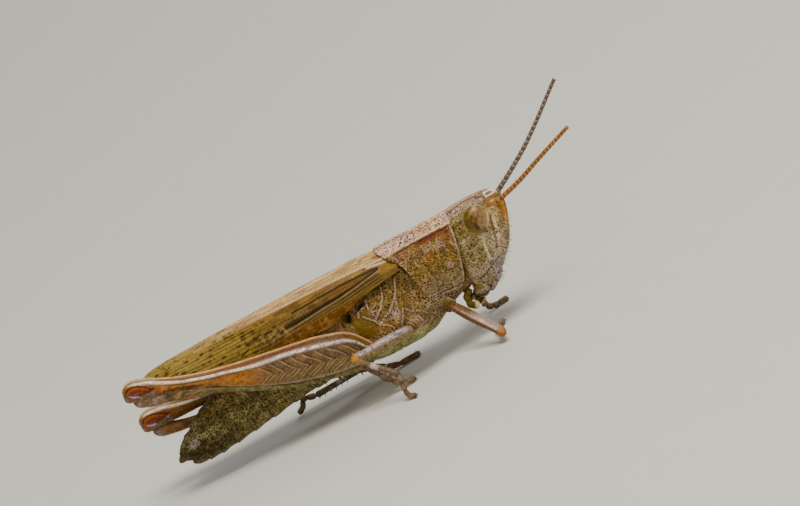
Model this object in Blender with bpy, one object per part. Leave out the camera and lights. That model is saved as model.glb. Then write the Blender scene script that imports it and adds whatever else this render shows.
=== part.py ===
"""A brown field grasshopper, a female about 22 mm long, standing on a level floor.

Every length below is in millimetres and becomes metres when a mesh is made.
The body's own axes are +X ahead, +Y to its left and +Z up from the floor, with X = 0 at the hind hips.
The last step moves the whole animal so that its origin is the middle of its box, on the floor.
"""

import math

import bmesh
import bpy
import numpy as np
from mathutils import Vector

MM = 0.001  # one millimetre in metres
GAP = 0.04  # air left between two neighbouring shell plates
LEAST_RADIUS = 0.25  # slender limbs and feelers are at least 0.5 mm thick

# ---- driving dimensions ----------------------------------------------------------------------
WING_TIP_X = -11.0
WING_THICK = 0.58  # measured towards the inner corner of its section; 0.5 mm square to its face
FEMUR_LENGTH = 12.3  # hind femur, from the hip to the middle of the knee
HIP_SIDE = 2.4  # how far the hind femur stands out from the middle plane
HIP_HEIGHT = 3.02
HIP_X = 0.45
KNEE_SIDE = 2.1
RIGHT_FEMUR_RISE = 17.2  # degrees above level, towards the tail
LEFT_FEMUR_RISE = 5.4
SOLE_HEIGHT = 0.2  # middle of a toe above the floor, so that its underside is cut flat
ABDOMEN_SPLIT_X = -9.4  # where the last rings of the abdomen begin

RIGHT, LEFT = -1, 1
SIDES = (("right", RIGHT), ("left", LEFT))

# ---- finishes: colour, roughness, metallic ---------------------------------------------------
FINISHES = {
    "cuticle": ((0.33, 0.24, 0.13, 1), 0.5, 0.0),
    "pronotum": ((0.36, 0.21, 0.09, 1), 0.5, 0.0),
    "wing": ((0.40, 0.30, 0.14, 1), 0.45, 0.0),
    "abdomen": ((0.20, 0.15, 0.06, 1), 0.5, 0.0),
    "femur": ((0.45, 0.26, 0.11, 1), 0.4, 0.0),
    "shank": ((0.28, 0.20, 0.09, 1), 0.45, 0.0),
    "eye": ((0.25, 0.14, 0.07, 1), 0.2, 0.0),
    "antenna": ((0.25, 0.17, 0.08, 1), 0.5, 0.0),
    "mouth": ((0.22, 0.15, 0.04, 1), 0.4, 0.0),
}


def finish(name):
    material = bpy.data.materials.get(name)
    if material is None:
        colour, roughness, metallic = FINISHES[name]
        material = bpy.data.materials.new(name)
        material.use_nodes = True
        shader = material.node_tree.nodes["Principled BSDF"]
        shader.inputs["Base Color"].default_value = colour
        shader.inputs["Roughness"].default_value = roughness
        shader.inputs["Metallic"].default_value = metallic
        material.diffuse_color = colour
    return material


# ---- curves and meshes -----------------------------------------------------------------------
def curve(rows, at):
    """The columns of a table at the places `at`, on a smooth curve that never overshoots its rows."""
    rows = np.array(rows, float)
    at = np.atleast_1d(np.asarray(at, float))
    x, v = rows[:, 0], rows[:, 1:]
    step = np.diff(x)[:, None]
    slope = np.diff(v, axis=0) / step
    lean = np.zeros_like(v)
    lean[0], lean[-1] = slope[0], slope[-1]
    before, after = slope[:-1], slope[1:]
    same_way = before * after > 0
    total = np.where(same_way, before + after, 1)
    lean[1:-1] = np.where(same_way, 2 * before * after / total, 0)
    i = np.clip(np.searchsorted(x, at, side="right") - 1, 0, len(x) - 2)
    t = ((at - x[i]) / step[i, 0])[:, None]
    h = step[i]
    return (
        (1 + 2 * t) * (1 - t) ** 2 * v[i]
        + t * (1 - t) ** 2 * h * lean[i]
        + t**2 * (3 - 2 * t) * v[i + 1]
        + t**2 * (t - 1) * h * lean[i + 1]
    )


def even_stops(rows, count):
    """Places from a table's first row to its last, evenly spaced."""
    return np.linspace(rows[0][0], rows[-1][0], count)


def power(value, exponent):
    """A signed power, which turns a circle into a superellipse."""
    return np.sign(value) * np.abs(value) ** exponent


def unit(vector):
    vector = np.asarray(vector, float)
    return vector / np.linalg.norm(vector)


def make(name, finish_name, points, faces):
    """A closed mesh object from points in millimetres, with its faces turned outwards."""
    mesh = bpy.data.meshes.new(name)
    mesh.from_pydata([Vector(p) * MM for p in points], [], faces)
    shape = bmesh.new()
    shape.from_mesh(mesh)
    bmesh.ops.recalc_face_normals(shape, faces=shape.faces)
    bmesh.ops.triangulate(shape, faces=shape.faces)
    shape.to_mesh(mesh)
    shape.free()
    mesh.materials.append(finish(finish_name))
    mesh.shade_smooth()
    mesh.set_sharp_from_angle(angle=math.radians(40))
    solid = bpy.data.objects.new(name, mesh)
    bpy.context.scene.collection.objects.link(solid)
    return solid


def loft(name, finish_name, rings):
    """A skin over a row of rings, each an equal number of points, closed by a face at both ends."""
    count, around = len(rings), len(rings[0])
    points = [p for ring in rings for p in ring]
    faces = [tuple(range(around)), tuple(range((count - 1) * around, count * around))]
    for i in range(count - 1):
        for j in range(around):
            k = (j + 1) % around
            faces.append((i * around + j, i * around + k, (i + 1) * around + k, (i + 1) * around + j))
    return make(name, finish_name, points, faces)


def ellipsoid(name, finish_name, centre, radii, lean_deg=0.0, rows=8, around=14):
    """An ellipsoid with its poles to the sides, leaning ahead by an angle in the side view."""
    lean = math.radians(lean_deg)
    rings = []
    for i in range(rows):
        polar = math.pi * (i + 0.5) / rows
        turn = np.linspace(0, 2 * math.pi, around, endpoint=False)
        x = radii[0] * math.sin(polar) * np.cos(turn)
        z = radii[2] * math.sin(polar) * np.sin(turn)
        y = np.full(around, -radii[1] * math.cos(polar))
        ahead = x * math.cos(lean) + z * math.sin(lean)
        up = z * math.cos(lean) - x * math.sin(lean)
        rings.append(np.stack([ahead, y, up], 1) + np.array(centre))
    return loft(name, finish_name, rings)


def body_rings(rows, stops, around, sharp_top=0.9, sharp_low=0.8):
    """Cross-sections along X from rows of (x, lowest z, z where widest, highest z, half width)."""
    rings = []
    turn = np.linspace(0, 2 * math.pi, around, endpoint=False)
    for x, (low, widest, high, half) in zip(stops, curve(rows, stops)):
        y = half * power(np.cos(turn), 0.85)
        rise = np.where(
            np.sin(turn) >= 0,
            (high - widest) * power(np.sin(turn), sharp_top),
            (widest - low) * power(np.sin(turn), sharp_low),
        )
        rings.append(np.stack([np.full(around, x), y, widest + rise], 1))
    return rings


def limb(name, finish_name, path, rows, around=8, stops=9, up=(0, 0, 1)):
    """A limb along a bent line, from rows of (share of its length, half depth, half width)."""
    path = np.array(path, float)
    lengths = np.concatenate([[0], np.cumsum(np.linalg.norm(np.diff(path, axis=0), axis=1))])
    line = np.column_stack([lengths / lengths[-1], path])
    shares = even_stops(rows, stops)
    places = curve(line, np.clip(shares, 0, 1))
    if len(path) == 2:
        places = path[0] + np.outer(shares, path[1] - path[0])
    rings = []
    turn = np.linspace(0, 2 * math.pi, around, endpoint=False)
    for i, (depth, width) in enumerate(curve(rows, shares)):
        ahead = unit(places[min(i + 1, stops - 1)] - places[max(i - 1, 0)])
        side = unit(np.cross(up, ahead))
        rise = np.cross(ahead, side)
        ring = places[i] + np.outer(np.cos(turn) * width, side) + np.outer(np.sin(turn) * depth, rise)
        rings.append(ring)
    return loft(name, finish_name, rings)


# ---- keeping the plates apart ----------------------------------------------------------------
def box_of(solid):
    corners = np.array([v.co for v in solid.data.vertices])
    return corners.min(0), corners.max(0)


def boxes_meet(a, b):
    (low_a, high_a), (low_b, high_b) = box_of(a), box_of(b)
    reach = 2 * GAP * MM
    return bool((low_a - reach < high_b).all() and (low_b - reach < high_a).all())


def cut(solid, cutter, operation="DIFFERENCE"):
    """Applies one Boolean and keeps only the largest body that it leaves."""
    boolean = solid.modifiers.new("cut", "BOOLEAN")
    boolean.object = cutter
    boolean.operation = operation
    boolean.solver = "EXACT"
    bpy.context.view_layer.update()
    graph = bpy.context.evaluated_depsgraph_get()
    result = bpy.data.meshes.new_from_object(solid.evaluated_get(graph))
    solid.modifiers.remove(boolean)
    shape = bmesh.new()
    shape.from_mesh(result)
    bmesh.ops.remove_doubles(shape, verts=shape.verts, dist=1e-4 * MM)
    islands = islands_of(shape)
    largest = max(islands, key=spread)
    loose = [v for island in islands if island is not largest for v in island]
    bmesh.ops.delete(shape, geom=loose, context="VERTS")
    flat = math.radians(0.3)
    bmesh.ops.dissolve_limit(shape, angle_limit=flat, verts=shape.verts, edges=shape.edges)
    bmesh.ops.triangulate(shape, faces=shape.faces)
    shape.to_mesh(result)
    shape.free()
    solid.data = result


def islands_of(shape):
    """The vertices of each connected body of a mesh."""
    left, found = set(shape.verts), []
    while left:
        island, edge = set(), [left.pop()]
        while edge:
            vertex = edge.pop()
            island.add(vertex)
            edge += [n for e in vertex.link_edges for n in e.verts if n in left]
            left -= set(edge)
        found.append(island)
    return found


def spread(island):
    """The volume of the box round a body."""
    places = np.array([v.co for v in island])
    return float(np.prod(places.max(0) - places.min(0)))


def swollen(solid, by):
    """A hidden copy of a solid, grown along its normals, for cutting room for it out of a neighbour."""
    copy = solid.copy()
    copy.data = solid.data.copy()
    copy.name = "room_for_" + solid.name
    for vertex, normal in zip(copy.data.vertices, [v.normal.copy() for v in solid.data.vertices]):
        vertex.co += normal * by * MM
    copy.hide_render = True
    copy.display_type = "WIRE"
    bpy.context.scene.collection.objects.link(copy)
    return copy


def keep_apart(solids):
    """Cuts each solid clear of those named before it, so the first named keep their whole shape."""
    for i, solid in enumerate(solids):
        for other in solids[:i]:
            if boxes_meet(solid, other):
                room = swollen(other, GAP)
                cut(solid, room)
                bpy.data.objects.remove(room)


def flatten_sole(solid):
    """Cuts away what lies below the floor, which leaves a small flat under a foot."""
    low, high = box_of(solid)
    if low[2] < 0:
        bpy.ops.mesh.primitive_cube_add(size=60 * MM, location=(0, 0, -30 * MM))
        ground = bpy.context.object
        cut(solid, ground)
        bpy.data.objects.remove(ground)


# ---- head ------------------------------------------------------------------------------------
# z, x at the back, x where widest, x at the front, half width
HEAD_LEVELS = [
    (2.35, 6.62, 7.05, 7.80, 0.72),
    (2.80, 6.50, 7.10, 8.30, 1.05),
    (3.40, 6.42, 7.20, 8.86, 1.30),
    (4.00, 6.42, 7.35, 9.30, 1.48),
    (4.80, 6.50, 7.55, 9.68, 1.54),
    (5.45, 6.60, 7.75, 9.92, 1.46),
    (5.95, 6.70, 7.80, 10.0, 1.28),
    (6.30, 6.72, 7.80, 9.97, 1.06),
    (6.58, 6.74, 7.80, 9.78, 0.78),
    (6.78, 6.76, 7.80, 9.40, 0.46),
    (6.88, 6.90, 7.80, 8.90, 0.18),
]
EYE_PLACE = (8.36, 1.16, 5.80)
EYE_RADII = (0.67, 0.48, 0.84)
EYE_LEAN = 20
ANTENNA_ROOT = (9.36, 0.52, 5.94)
ANTENNA_BENDS = {
    RIGHT: ((11.15, -1.55, 6.62), (12.75, -2.62, 7.42), (14.85, -4.12, 8.46)),
    LEFT: ((10.9, 1.05, 6.70), (12.3, 1.65, 7.46), (15.1, 2.80, 9.42)),
}


def head():
    stops = even_stops(HEAD_LEVELS, 13)
    turn = np.linspace(0, 2 * math.pi, 20, endpoint=False)
    rings = []
    for z, (back, widest, front, half) in zip(stops, curve(HEAD_LEVELS, stops)):
        ahead, side = np.cos(turn), np.sin(turn)
        x = np.where(
            ahead >= 0,
            widest + (front - widest) * power(ahead, 1.15),
            widest + (widest - back) * power(ahead, 0.7),
        )
        y = half * power(side, 0.9)
        rings.append(np.stack([x, y, np.full(len(turn), z)], 1))
    return loft("head", "cuticle", rings)


def eye(side_name, side):
    place = (EYE_PLACE[0], side * EYE_PLACE[1], EYE_PLACE[2])
    return ellipsoid(f"eye_{side_name}", "eye", place, EYE_RADII, EYE_LEAN, rows=8, around=14)


def antenna(side_name, side):
    root = (ANTENNA_ROOT[0], side * ANTENNA_ROOT[1], ANTENNA_ROOT[2])
    rows = [(0, 0.20, 0.20), (0.03, 0.27, 0.27), (0.9, 0.25, 0.25), (0.98, 0.2, 0.2), (1.0, 0.1, 0.1)]
    return limb(f"antenna_{side_name}", "antenna", (root, *ANTENNA_BENDS[side]), rows, around=8, stops=12)


def labrum():
    """The upper lip: a rounded flap that hangs below the face."""
    rows = [(0, 0.25, 0.55), (0.3, 0.30, 0.72), (0.7, 0.28, 0.66), (0.95, 0.2, 0.4), (1.0, 0.1, 0.2)]
    return limb("labrum", "mouth", ((8.02, 0, 2.78), (7.02, 0, 1.98)), rows, around=10, stops=7)


def mandible(side_name, side):
    return ellipsoid(f"mandible_{side_name}", "mouth", (6.78, side * 0.72, 2.42), (0.42, 0.34, 0.50), 0, 6, 10)


def palp(kind, side_name, side, path):
    rows = [(0, 0.2, 0.2), (0.1, LEAST_RADIUS, LEAST_RADIUS), (0.9, 0.27, 0.27), (1.0, 0.14, 0.14)]
    placed = [(x, side * y, z) for x, y, z in path]
    return limb(f"{kind}_palp_{side_name}", "mouth", placed, rows, around=7, stops=7, up=(0, 1, 0))


# ---- pronotum --------------------------------------------------------------------------------
# From a lower edge up to the middle line of the back: z front, z rear, half width front, half width rear,
# x of the front edge, x of the rear edge.
PRONOTUM_LINES = [
    (3.42, 3.56, 1.62, 1.76, 6.20, 4.18),
    (4.20, 4.30, 1.74, 1.88, 6.55, 4.08),
    (5.20, 5.30, 1.60, 1.84, 6.84, 3.92),
    (5.85, 5.98, 1.26, 1.62, 6.98, 3.60),
    (6.34, 6.46, 0.94, 1.18, 7.04, 3.15),
    (6.58, 6.78, 0.46, 0.62, 7.04, 2.86),
    (6.68, 6.92, 0.00, 0.00, 7.02, 2.74),
]
CARINA_LINE = 4  # the line above that runs along the shoulder ridge
CARINA_WAIST = 0.20  # how far the shoulder ridges draw in between their ends


def pronotum():
    lines = np.array(PRONOTUM_LINES)
    stops = np.linspace(0, 1, 9)
    rings = []
    for s in stops:
        z = lines[:, 1] + (lines[:, 0] - lines[:, 1]) * s
        half = lines[:, 3] + (lines[:, 2] - lines[:, 3]) * s
        x = lines[:, 5] + (lines[:, 4] - lines[:, 5]) * s
        half[CARINA_LINE] -= CARINA_WAIST * math.sin(math.pi * s)
        right = np.stack([x, RIGHT * half, z], 1)
        left = np.stack([x, LEFT * half, z], 1)[-2::-1]
        floor = [(x[0], 0.9, z[0] - 0.05), (x[0], -0.9, z[0] - 0.05)]
        rings.append(np.concatenate([right, left, floor]))
    return loft("pronotum", "pronotum", rings)


# ---- trunk -----------------------------------------------------------------------------------
# x, lowest z, z where widest, highest z, half width
THORAX_ROWS = [
    (-0.45, 1.90, 3.40, 5.60, 1.42),
    (0.30, 1.62, 3.40, 5.90, 1.76),
    (1.20, 1.52, 3.40, 6.00, 1.90),
    (2.60, 1.52, 3.40, 6.00, 1.92),
    (3.60, 1.66, 3.40, 5.90, 1.86),
    (4.60, 2.12, 3.50, 5.50, 1.60),
    (5.60, 2.62, 3.60, 5.20, 1.28),
    (6.25, 3.05, 3.70, 4.90, 0.98),
]
ABDOMEN_ROWS = [
    (-11.42, 1.86, 2.02, 2.24, 0.20),
    (-11.05, 1.66, 2.12, 2.72, 0.52),
    (-10.40, 1.26, 2.20, 3.14, 0.82),
    (-9.70, 1.20, 2.36, 3.62, 1.02),
    (-9.00, 1.26, 2.52, 3.94, 1.16),
    (-8.00, 1.36, 2.70, 4.40, 1.30),
    (-6.00, 1.60, 3.00, 5.10, 1.50),
    (-4.00, 1.84, 3.20, 5.60, 1.62),
    (-2.00, 1.92, 3.30, 5.90, 1.66),
    (-0.50, 1.90, 3.35, 6.00, 1.58),
]


def thorax():
    return loft("thorax", "cuticle", body_rings(THORAX_ROWS, even_stops(THORAX_ROWS, 10), 16))


def abdomen():
    stops = np.linspace(ABDOMEN_SPLIT_X + GAP / 2, ABDOMEN_ROWS[-1][0], 11)
    return loft("abdomen", "abdomen", body_rings(ABDOMEN_ROWS, stops, 16))


def abdomen_tip():
    stops = np.linspace(ABDOMEN_ROWS[0][0], ABDOMEN_SPLIT_X - GAP / 2, 7)
    return loft("abdomen_tip", "abdomen", body_rings(ABDOMEN_ROWS, stops, 16))


def valve(name, start, end):
    """One half-pair of the short egg-laying blades at the tail."""
    rows = [(0, 0.25, 0.4), (0.5, 0.27, 0.36), (0.85, 0.2, 0.26), (1.0, 0.1, 0.16)]
    return limb(name, "abdomen", (start, end), rows, around=8, stops=6)


def cercus(side_name, side):
    rows = [(0, 0.25, 0.22), (0.5, 0.25, 0.22), (1.0, 0.12, 0.12)]
    path = ((-10.05, side * 0.90, 2.62), (-10.75, side * 0.86, 2.44))
    return limb(f"cercus_{side_name}", "abdomen", path, rows, around=8, stops=5)


# ---- wings -----------------------------------------------------------------------------------
# x, height of the middle edge, half width and height of the fold, half width and height of the lower edge
WING_ROWS = [
    (WING_TIP_X, 6.78, 0.34, 6.66, 0.42, 6.20),
    (-10.4, 6.92, 0.58, 6.70, 0.86, 5.75),
    (-9.0, 6.98, 0.82, 6.72, 1.24, 5.30),
    (-7.0, 6.98, 1.00, 6.70, 1.48, 5.00),
    (-4.0, 6.97, 1.14, 6.68, 1.72, 4.90),
    (-1.0, 6.95, 1.22, 6.64, 1.90, 5.02),
    (1.5, 6.92, 1.24, 6.50, 1.90, 5.38),
    (3.6, 6.72, 1.10, 6.22, 1.70, 5.60),
]


def toward(point, corner, by):
    """A point of the wing's outer face drawn in towards the corner beneath it, but never past it."""
    away = np.array(point, float) - corner
    reach = np.linalg.norm(away)
    return tuple(corner + away * max(reach - by, 0.12 * reach) / reach)


def wing(side_name, side):
    """A fore wing: flat along the back, folded down over the flank, with its mate along the middle line."""
    rings = []
    stops = even_stops(WING_ROWS, 13)
    for x, (top, fold_y, fold_z, low_y, low_z) in zip(stops, curve(WING_ROWS, stops)):
        outer = [
            (GAP / 2, top),
            (fold_y * 0.55, top * 0.45 + fold_z * 0.55 + 0.02),
            (fold_y, fold_z),
            (fold_y * 0.45 + low_y * 0.55 + 0.1, fold_z * 0.5 + low_z * 0.5),
            (low_y, low_z),
        ]
        inner = [toward(point, (GAP / 2, low_z), WING_THICK) for point in reversed(outer)]
        rings.append([(x, side * y, z) for y, z in outer + inner])
    return loft(f"wing_{side_name}", "wing", rings)


# ---- hind legs -------------------------------------------------------------------------------
# share of the femur's length, reach above its axis, reach below it, half thickness
FEMUR_ROWS = [
    (-0.006, 0.10, 0.30, 0.24),
    (0.030, 0.44, 0.84, 0.36),
    (0.070, 0.68, 1.06, 0.44),
    (0.130, 0.88, 1.22, 0.52),
    (0.216, 0.95, 1.28, 0.55),
    (0.310, 0.90, 1.24, 0.53),
    (0.418, 0.74, 1.07, 0.46),
    (0.511, 0.62, 0.86, 0.40),
    (0.610, 0.54, 0.62, 0.34),
    (0.710, 0.47, 0.40, 0.30),
    (0.790, 0.43, 0.24, 0.27),
    (0.860, 0.46, 0.16, 0.28),
    (0.920, 0.58, 0.20, 0.34),
    (0.965, 0.70, 0.34, 0.40),
    (1.010, 0.72, 0.46, 0.42),
    (1.048, 0.60, 0.44, 0.36),
    (1.072, 0.34, 0.26, 0.22),
]
# one cross-section of the femur, as shares of its half thickness (outwards) and of its reach up or down
FEMUR_SECTION = [
    (0.0, 1.0),
    (0.62, 0.72),
    (0.95, 0.25),
    (0.98, -0.2),
    (0.80, -0.72),
    (0.30, -0.98),
    (-0.30, -0.98),
    (-0.80, -0.70),
    (-0.90, 0.0),
    (-0.62, 0.72),
]
# share of the femur and distance below its axis that the folded shank passes through
TIBIA_FOLD = [(0.8, 0.64), (0.5, 1.18), (0.25, 1.56)]
FEMUR_RISE = {RIGHT: RIGHT_FEMUR_RISE, LEFT: LEFT_FEMUR_RISE}
ANKLE_HIND = {RIGHT: (-0.36, -2.32, 1.62), LEFT: (-0.60, 2.42, 0.80)}
TOES_HIND = {
    RIGHT: ((0.50, -2.10, 0.62), (1.55, -1.75, SOLE_HEIGHT)),
    LEFT: ((0.40, 2.50, 0.30), (2.00, 2.65, SOLE_HEIGHT)),
}


def femur_axes(side):
    """The hip, the knee, and the unit vectors along the femur, up across it and out from the body."""
    rise = math.radians(FEMUR_RISE[side])
    hip = np.array([HIP_X, side * HIP_SIDE, HIP_HEIGHT])
    inward = (HIP_SIDE - KNEE_SIDE) / FEMUR_LENGTH
    along = unit([-math.cos(rise), -side * inward, math.sin(rise)])
    out = unit(np.cross(along, [0, 0, 1])) * -side
    out = out if out[1] * side > 0 else -out
    up = unit(np.cross(out, along))
    up = up if up[2] > 0 else -up
    return hip, hip + along * FEMUR_LENGTH, along, up, out


def hind_femur(side_name, side):
    hip, _, along, up, out = femur_axes(side)
    stops = even_stops(FEMUR_ROWS, 21)
    rings = []
    for share, (above, below, half) in zip(stops, curve(FEMUR_ROWS, stops)):
        centre = hip + along * share * FEMUR_LENGTH
        ring = []
        for outward, upward in FEMUR_SECTION:
            reach = above if upward >= 0 else below
            ring.append(centre + out * outward * half + up * upward * reach)
        rings.append(ring)
    return loft(f"hind_femur_{side_name}", "femur", rings)


def hind_tibia(side_name, side):
    """The shank, folded up close beneath the femur from the knee to the ankle."""
    hip, knee, along, up, _ = femur_axes(side)
    path = [knee - up * 0.66 + along * 0.1]
    for share, below in TIBIA_FOLD:
        path.append(hip + along * share * FEMUR_LENGTH - up * below)
    path.append(ANKLE_HIND[side])
    rows = [(0, 0.3, 0.26), (0.03, 0.3, 0.28), (0.1, 0.25, 0.25), (0.9, 0.25, 0.25), (0.97, 0.3, 0.3), (1, 0.24, 0.24)]
    return limb(f"hind_tibia_{side_name}", "shank", path, rows, around=8, stops=12)


# ---- the other legs --------------------------------------------------------------------------
COXAE = {"fore": (4.90, 1.22, 2.66), "mid": (2.95, 1.62, 2.42), "hind": (0.85, 1.85, 2.35)}
COXA_RADII = {"fore": (0.42, 0.36, 0.48), "mid": (0.55, 0.42, 0.55), "hind": (0.6, 0.5, 0.55)}
HIPS = {"fore": (5.02, 1.48, 2.54), "mid": (2.66, 2.04, 2.62)}
KNEES = {
    ("fore", RIGHT): (6.85, -3.85, 0.56),
    ("fore", LEFT): (6.25, 3.90, 3.05),
    ("mid", RIGHT): (-0.62, -3.40, 2.98),
    ("mid", LEFT): (-0.95, 3.55, 1.10),
}
ANKLES = {
    ("fore", RIGHT): (6.48, -1.35, 0.42),
    ("fore", LEFT): (6.15, 3.55, 0.42),
    ("mid", RIGHT): (0.95, -4.35, 1.42),
    ("mid", LEFT): (-4.00, 3.66, 0.62),
}
TOES = {
    ("fore", RIGHT): ((6.55, -0.80, 0.24), (6.85, 0.10, SOLE_HEIGHT)),
    ("fore", LEFT): ((6.45, 3.65, 0.24), (7.35, 4.00, SOLE_HEIGHT)),
    ("mid", RIGHT): ((1.00, -4.68, 0.50), (1.42, -4.98, SOLE_HEIGHT)),
    ("mid", LEFT): ((-4.62, 3.63, 0.52), (-5.30, 3.58, SOLE_HEIGHT)),
}


def coxa(place, side_name, side):
    x, y, z = COXAE[place]
    return ellipsoid(f"{place}_coxa_{side_name}", "cuticle", (x, side * y, z), COXA_RADII[place], 0, 6, 10)


def femur(place, side_name, side):
    x, y, z = HIPS[place]
    rows = [(0, 0.22, 0.2), (0.08, 0.30, 0.25), (0.4, 0.34, 0.28), (0.85, 0.28, 0.26), (0.97, 0.29, 0.27), (1.04, 0.15, 0.15)]
    return limb(f"{place}_femur_{side_name}", "femur", ((x, side * y, z), KNEES[place, side]), rows, stops=10)


def tibia(place, side_name, side):
    rows = [(0, 0.25, 0.25), (0.9, 0.25, 0.25), (1, 0.2, 0.2)]
    path = (KNEES[place, side], ANKLES[place, side])
    return limb(f"{place}_tibia_{side_name}", "shank", path, rows, stops=7, up=(1, 0, 0))


def tarsus(place, side_name, ankle, toes):
    """The foot: it comes down from the ankle and its last joint lies on the floor."""
    rows = [(0, 0.2, 0.2), (0.06, 0.25, 0.25), (0.9, 0.25, 0.25), (1, 0.16, 0.2)]
    joint, tip = np.array(toes[0]), np.array(toes[1])
    beyond_joint = joint + (tip - joint) * 0.35
    beyond_joint[2] = SOLE_HEIGHT
    path = (ankle, joint, beyond_joint, tip)
    foot = limb(f"{place}_tarsus_{side_name}", "shank", path, rows, stops=9)
    flatten_sole(foot)
    return foot


# ---- the whole animal ------------------------------------------------------------------------
MAXILLARY_PATH = ((6.20, 0.62, 2.62), (5.86, 0.92, 2.44), (5.86, 0.96, 2.02), (6.28, 0.90, 1.72))
LABIAL_PATH = ((6.42, 0.30, 2.30), (6.32, 0.32, 2.02), (6.52, 0.30, 1.62))


def build():
    solids = [pronotum()]
    for name, side in SIDES:
        solids += [eye(name, side), antenna(name, side)]
    solids += [labrum()]
    for name, side in SIDES:
        solids += [mandible(name, side)]
    solids += [head()]
    for name, side in SIDES:
        solids += [palp("maxillary", name, side, MAXILLARY_PATH), palp("labial", name, side, LABIAL_PATH)]
    for name, side in SIDES:
        solids += [wing(name, side), hind_femur(name, side)]
    for name, side in SIDES:
        solids += [hind_tibia(name, side), tarsus("hind", name, ANKLE_HIND[side], TOES_HIND[side])]
        for place in ("fore", "mid"):
            solids += [femur(place, name, side), tibia(place, name, side)]
            solids += [tarsus(place, name, ANKLES[place, side], TOES[place, side])]
        for place in COXAE:
            solids += [coxa(place, name, side)]
    solids += [valve("ovipositor_upper", (-10.95, 0, 2.12), (-11.62, 0, 1.84))]
    solids += [valve("ovipositor_lower", (-10.20, 0, 1.45), (-11.00, 0, 1.52))]
    for name, side in SIDES:
        solids += [cercus(name, side)]
    solids += [thorax(), abdomen_tip(), abdomen()]
    keep_apart(solids)
    return solids


def stand_at_origin(solids):
    """Moves the animal so that the middle of its box's underside is the origin."""
    boxes = np.array([box_of(solid) for solid in solids])
    low, high = boxes[:, 0].min(0), boxes[:, 1].max(0)
    middle = bpy.data.objects.new("grasshopper", None)
    middle.location = (-(low[0] + high[0]) / 2, -(low[1] + high[1]) / 2, -low[2])
    bpy.context.scene.collection.objects.link(middle)
    for solid in solids:
        solid.parent = middle


for old in list(bpy.data.objects):
    bpy.data.objects.remove(old)
stand_at_origin(build())
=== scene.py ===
# %% [markdown]
# # A field grasshopper, plate by plate
# The animal is a female brown grasshopper about 22 mm long. An insect wears its skeleton outside: hard
# plates of chitin, each with its own ribs, pits and colours. So every plate here is one surface made from a
# formula, with its markings worked out on the same surface. Bristles, spines and feeler rings repeat, so
# Geometry Nodes make them.

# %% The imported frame, and the tools
import math

import bmesh
import bpy
import numpy as np
from mathutils import Matrix, Vector


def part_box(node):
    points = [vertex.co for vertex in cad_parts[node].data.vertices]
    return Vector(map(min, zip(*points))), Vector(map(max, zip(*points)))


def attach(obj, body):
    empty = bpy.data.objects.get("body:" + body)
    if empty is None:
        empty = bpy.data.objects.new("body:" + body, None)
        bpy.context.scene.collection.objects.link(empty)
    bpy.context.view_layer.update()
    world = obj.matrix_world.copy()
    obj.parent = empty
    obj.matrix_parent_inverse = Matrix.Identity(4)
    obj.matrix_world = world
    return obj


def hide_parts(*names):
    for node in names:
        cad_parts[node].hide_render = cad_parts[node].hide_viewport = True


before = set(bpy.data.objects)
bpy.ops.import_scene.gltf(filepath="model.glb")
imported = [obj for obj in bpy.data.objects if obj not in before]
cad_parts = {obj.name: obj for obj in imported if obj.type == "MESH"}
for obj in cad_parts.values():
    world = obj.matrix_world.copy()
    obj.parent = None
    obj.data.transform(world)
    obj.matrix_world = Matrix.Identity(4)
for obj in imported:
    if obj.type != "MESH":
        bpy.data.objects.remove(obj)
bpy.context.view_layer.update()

print("solids in the frame:", len(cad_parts))

# %% [markdown]
# ## The animal's own axes
# It is easiest to think in millimetres from the animal's hind hips: +X ahead, +Y to its left, +Z up from the
# floor. The pronotum is even-sided and its rear edge is known, so its box tells where those axes lie in the
# frame.

# %% Millimetres on the animal to metres in the frame
MM = 0.001
PRONOTUM_REAR = 2.74
low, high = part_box("pronotum")
HIPS = np.array([low.x / MM - PRONOTUM_REAR, (low.y + high.y) / 2 / MM, 0.0])
SIDES = (("right", -1), ("left", 1))


def on_side(points, side):
    """Places given for the left side, mirrored where the side is -1."""
    return np.asarray(points, float) * (1, side, 1)


def metres(points):
    """Places on the animal, in mm from its hips, as places in the frame."""
    return (np.asarray(points, float) + HIPS) * MM


print("the hips lie at", HIPS.round(3), "mm in the frame")

# %% [markdown]
# ## The camera
# A close-up lens far off keeps the side view nearly flat. The animal is shown climbing, so the camera rolls
# while the animal itself stays level on the floor.

# %% A long lens to the right side, a little ahead and above
AZIMUTH, ELEVATION, ROLL = math.radians(5), math.radians(13), math.radians(30)
CAMERA_AWAY = 380.0  # mm
WIDTH_SEEN = 41.6  # mm across the render
SENSOR = 36.0  # mm
NEAREST, FARTHEST = 0.01, 10.0  # metres
AIM = (3.98, -0.65, 6.15)


def linked(name, data):
    """A new object in the scene, made from its data."""
    made = bpy.data.objects.new(name, data)
    bpy.context.scene.collection.objects.link(made)
    return made


toward = Vector(
    (math.sin(AZIMUTH) * math.cos(ELEVATION), -math.cos(AZIMUTH) * math.cos(ELEVATION), math.sin(ELEVATION))
)
level = Vector((math.cos(AZIMUTH), math.sin(AZIMUTH), 0))
upright = toward.cross(level)
across = level * math.cos(ROLL) - upright * math.sin(ROLL)
upward = level * math.sin(ROLL) + upright * math.cos(ROLL)
camera = linked("close_up_camera", bpy.data.cameras.new("close_up_camera"))
camera.data.sensor_width = SENSOR
camera.data.lens = SENSOR * CAMERA_AWAY / WIDTH_SEEN
camera.data.clip_start, camera.data.clip_end = NEAREST, FARTHEST
facing = Matrix((across, upward, toward)).transposed().to_4x4()
camera.matrix_world = Matrix.Translation(Vector(metres(AIM)) + toward * CAMERA_AWAY * MM) @ facing
bpy.context.scene.camera = camera
print("lens", round(camera.data.lens, 1), "mm")

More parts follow.
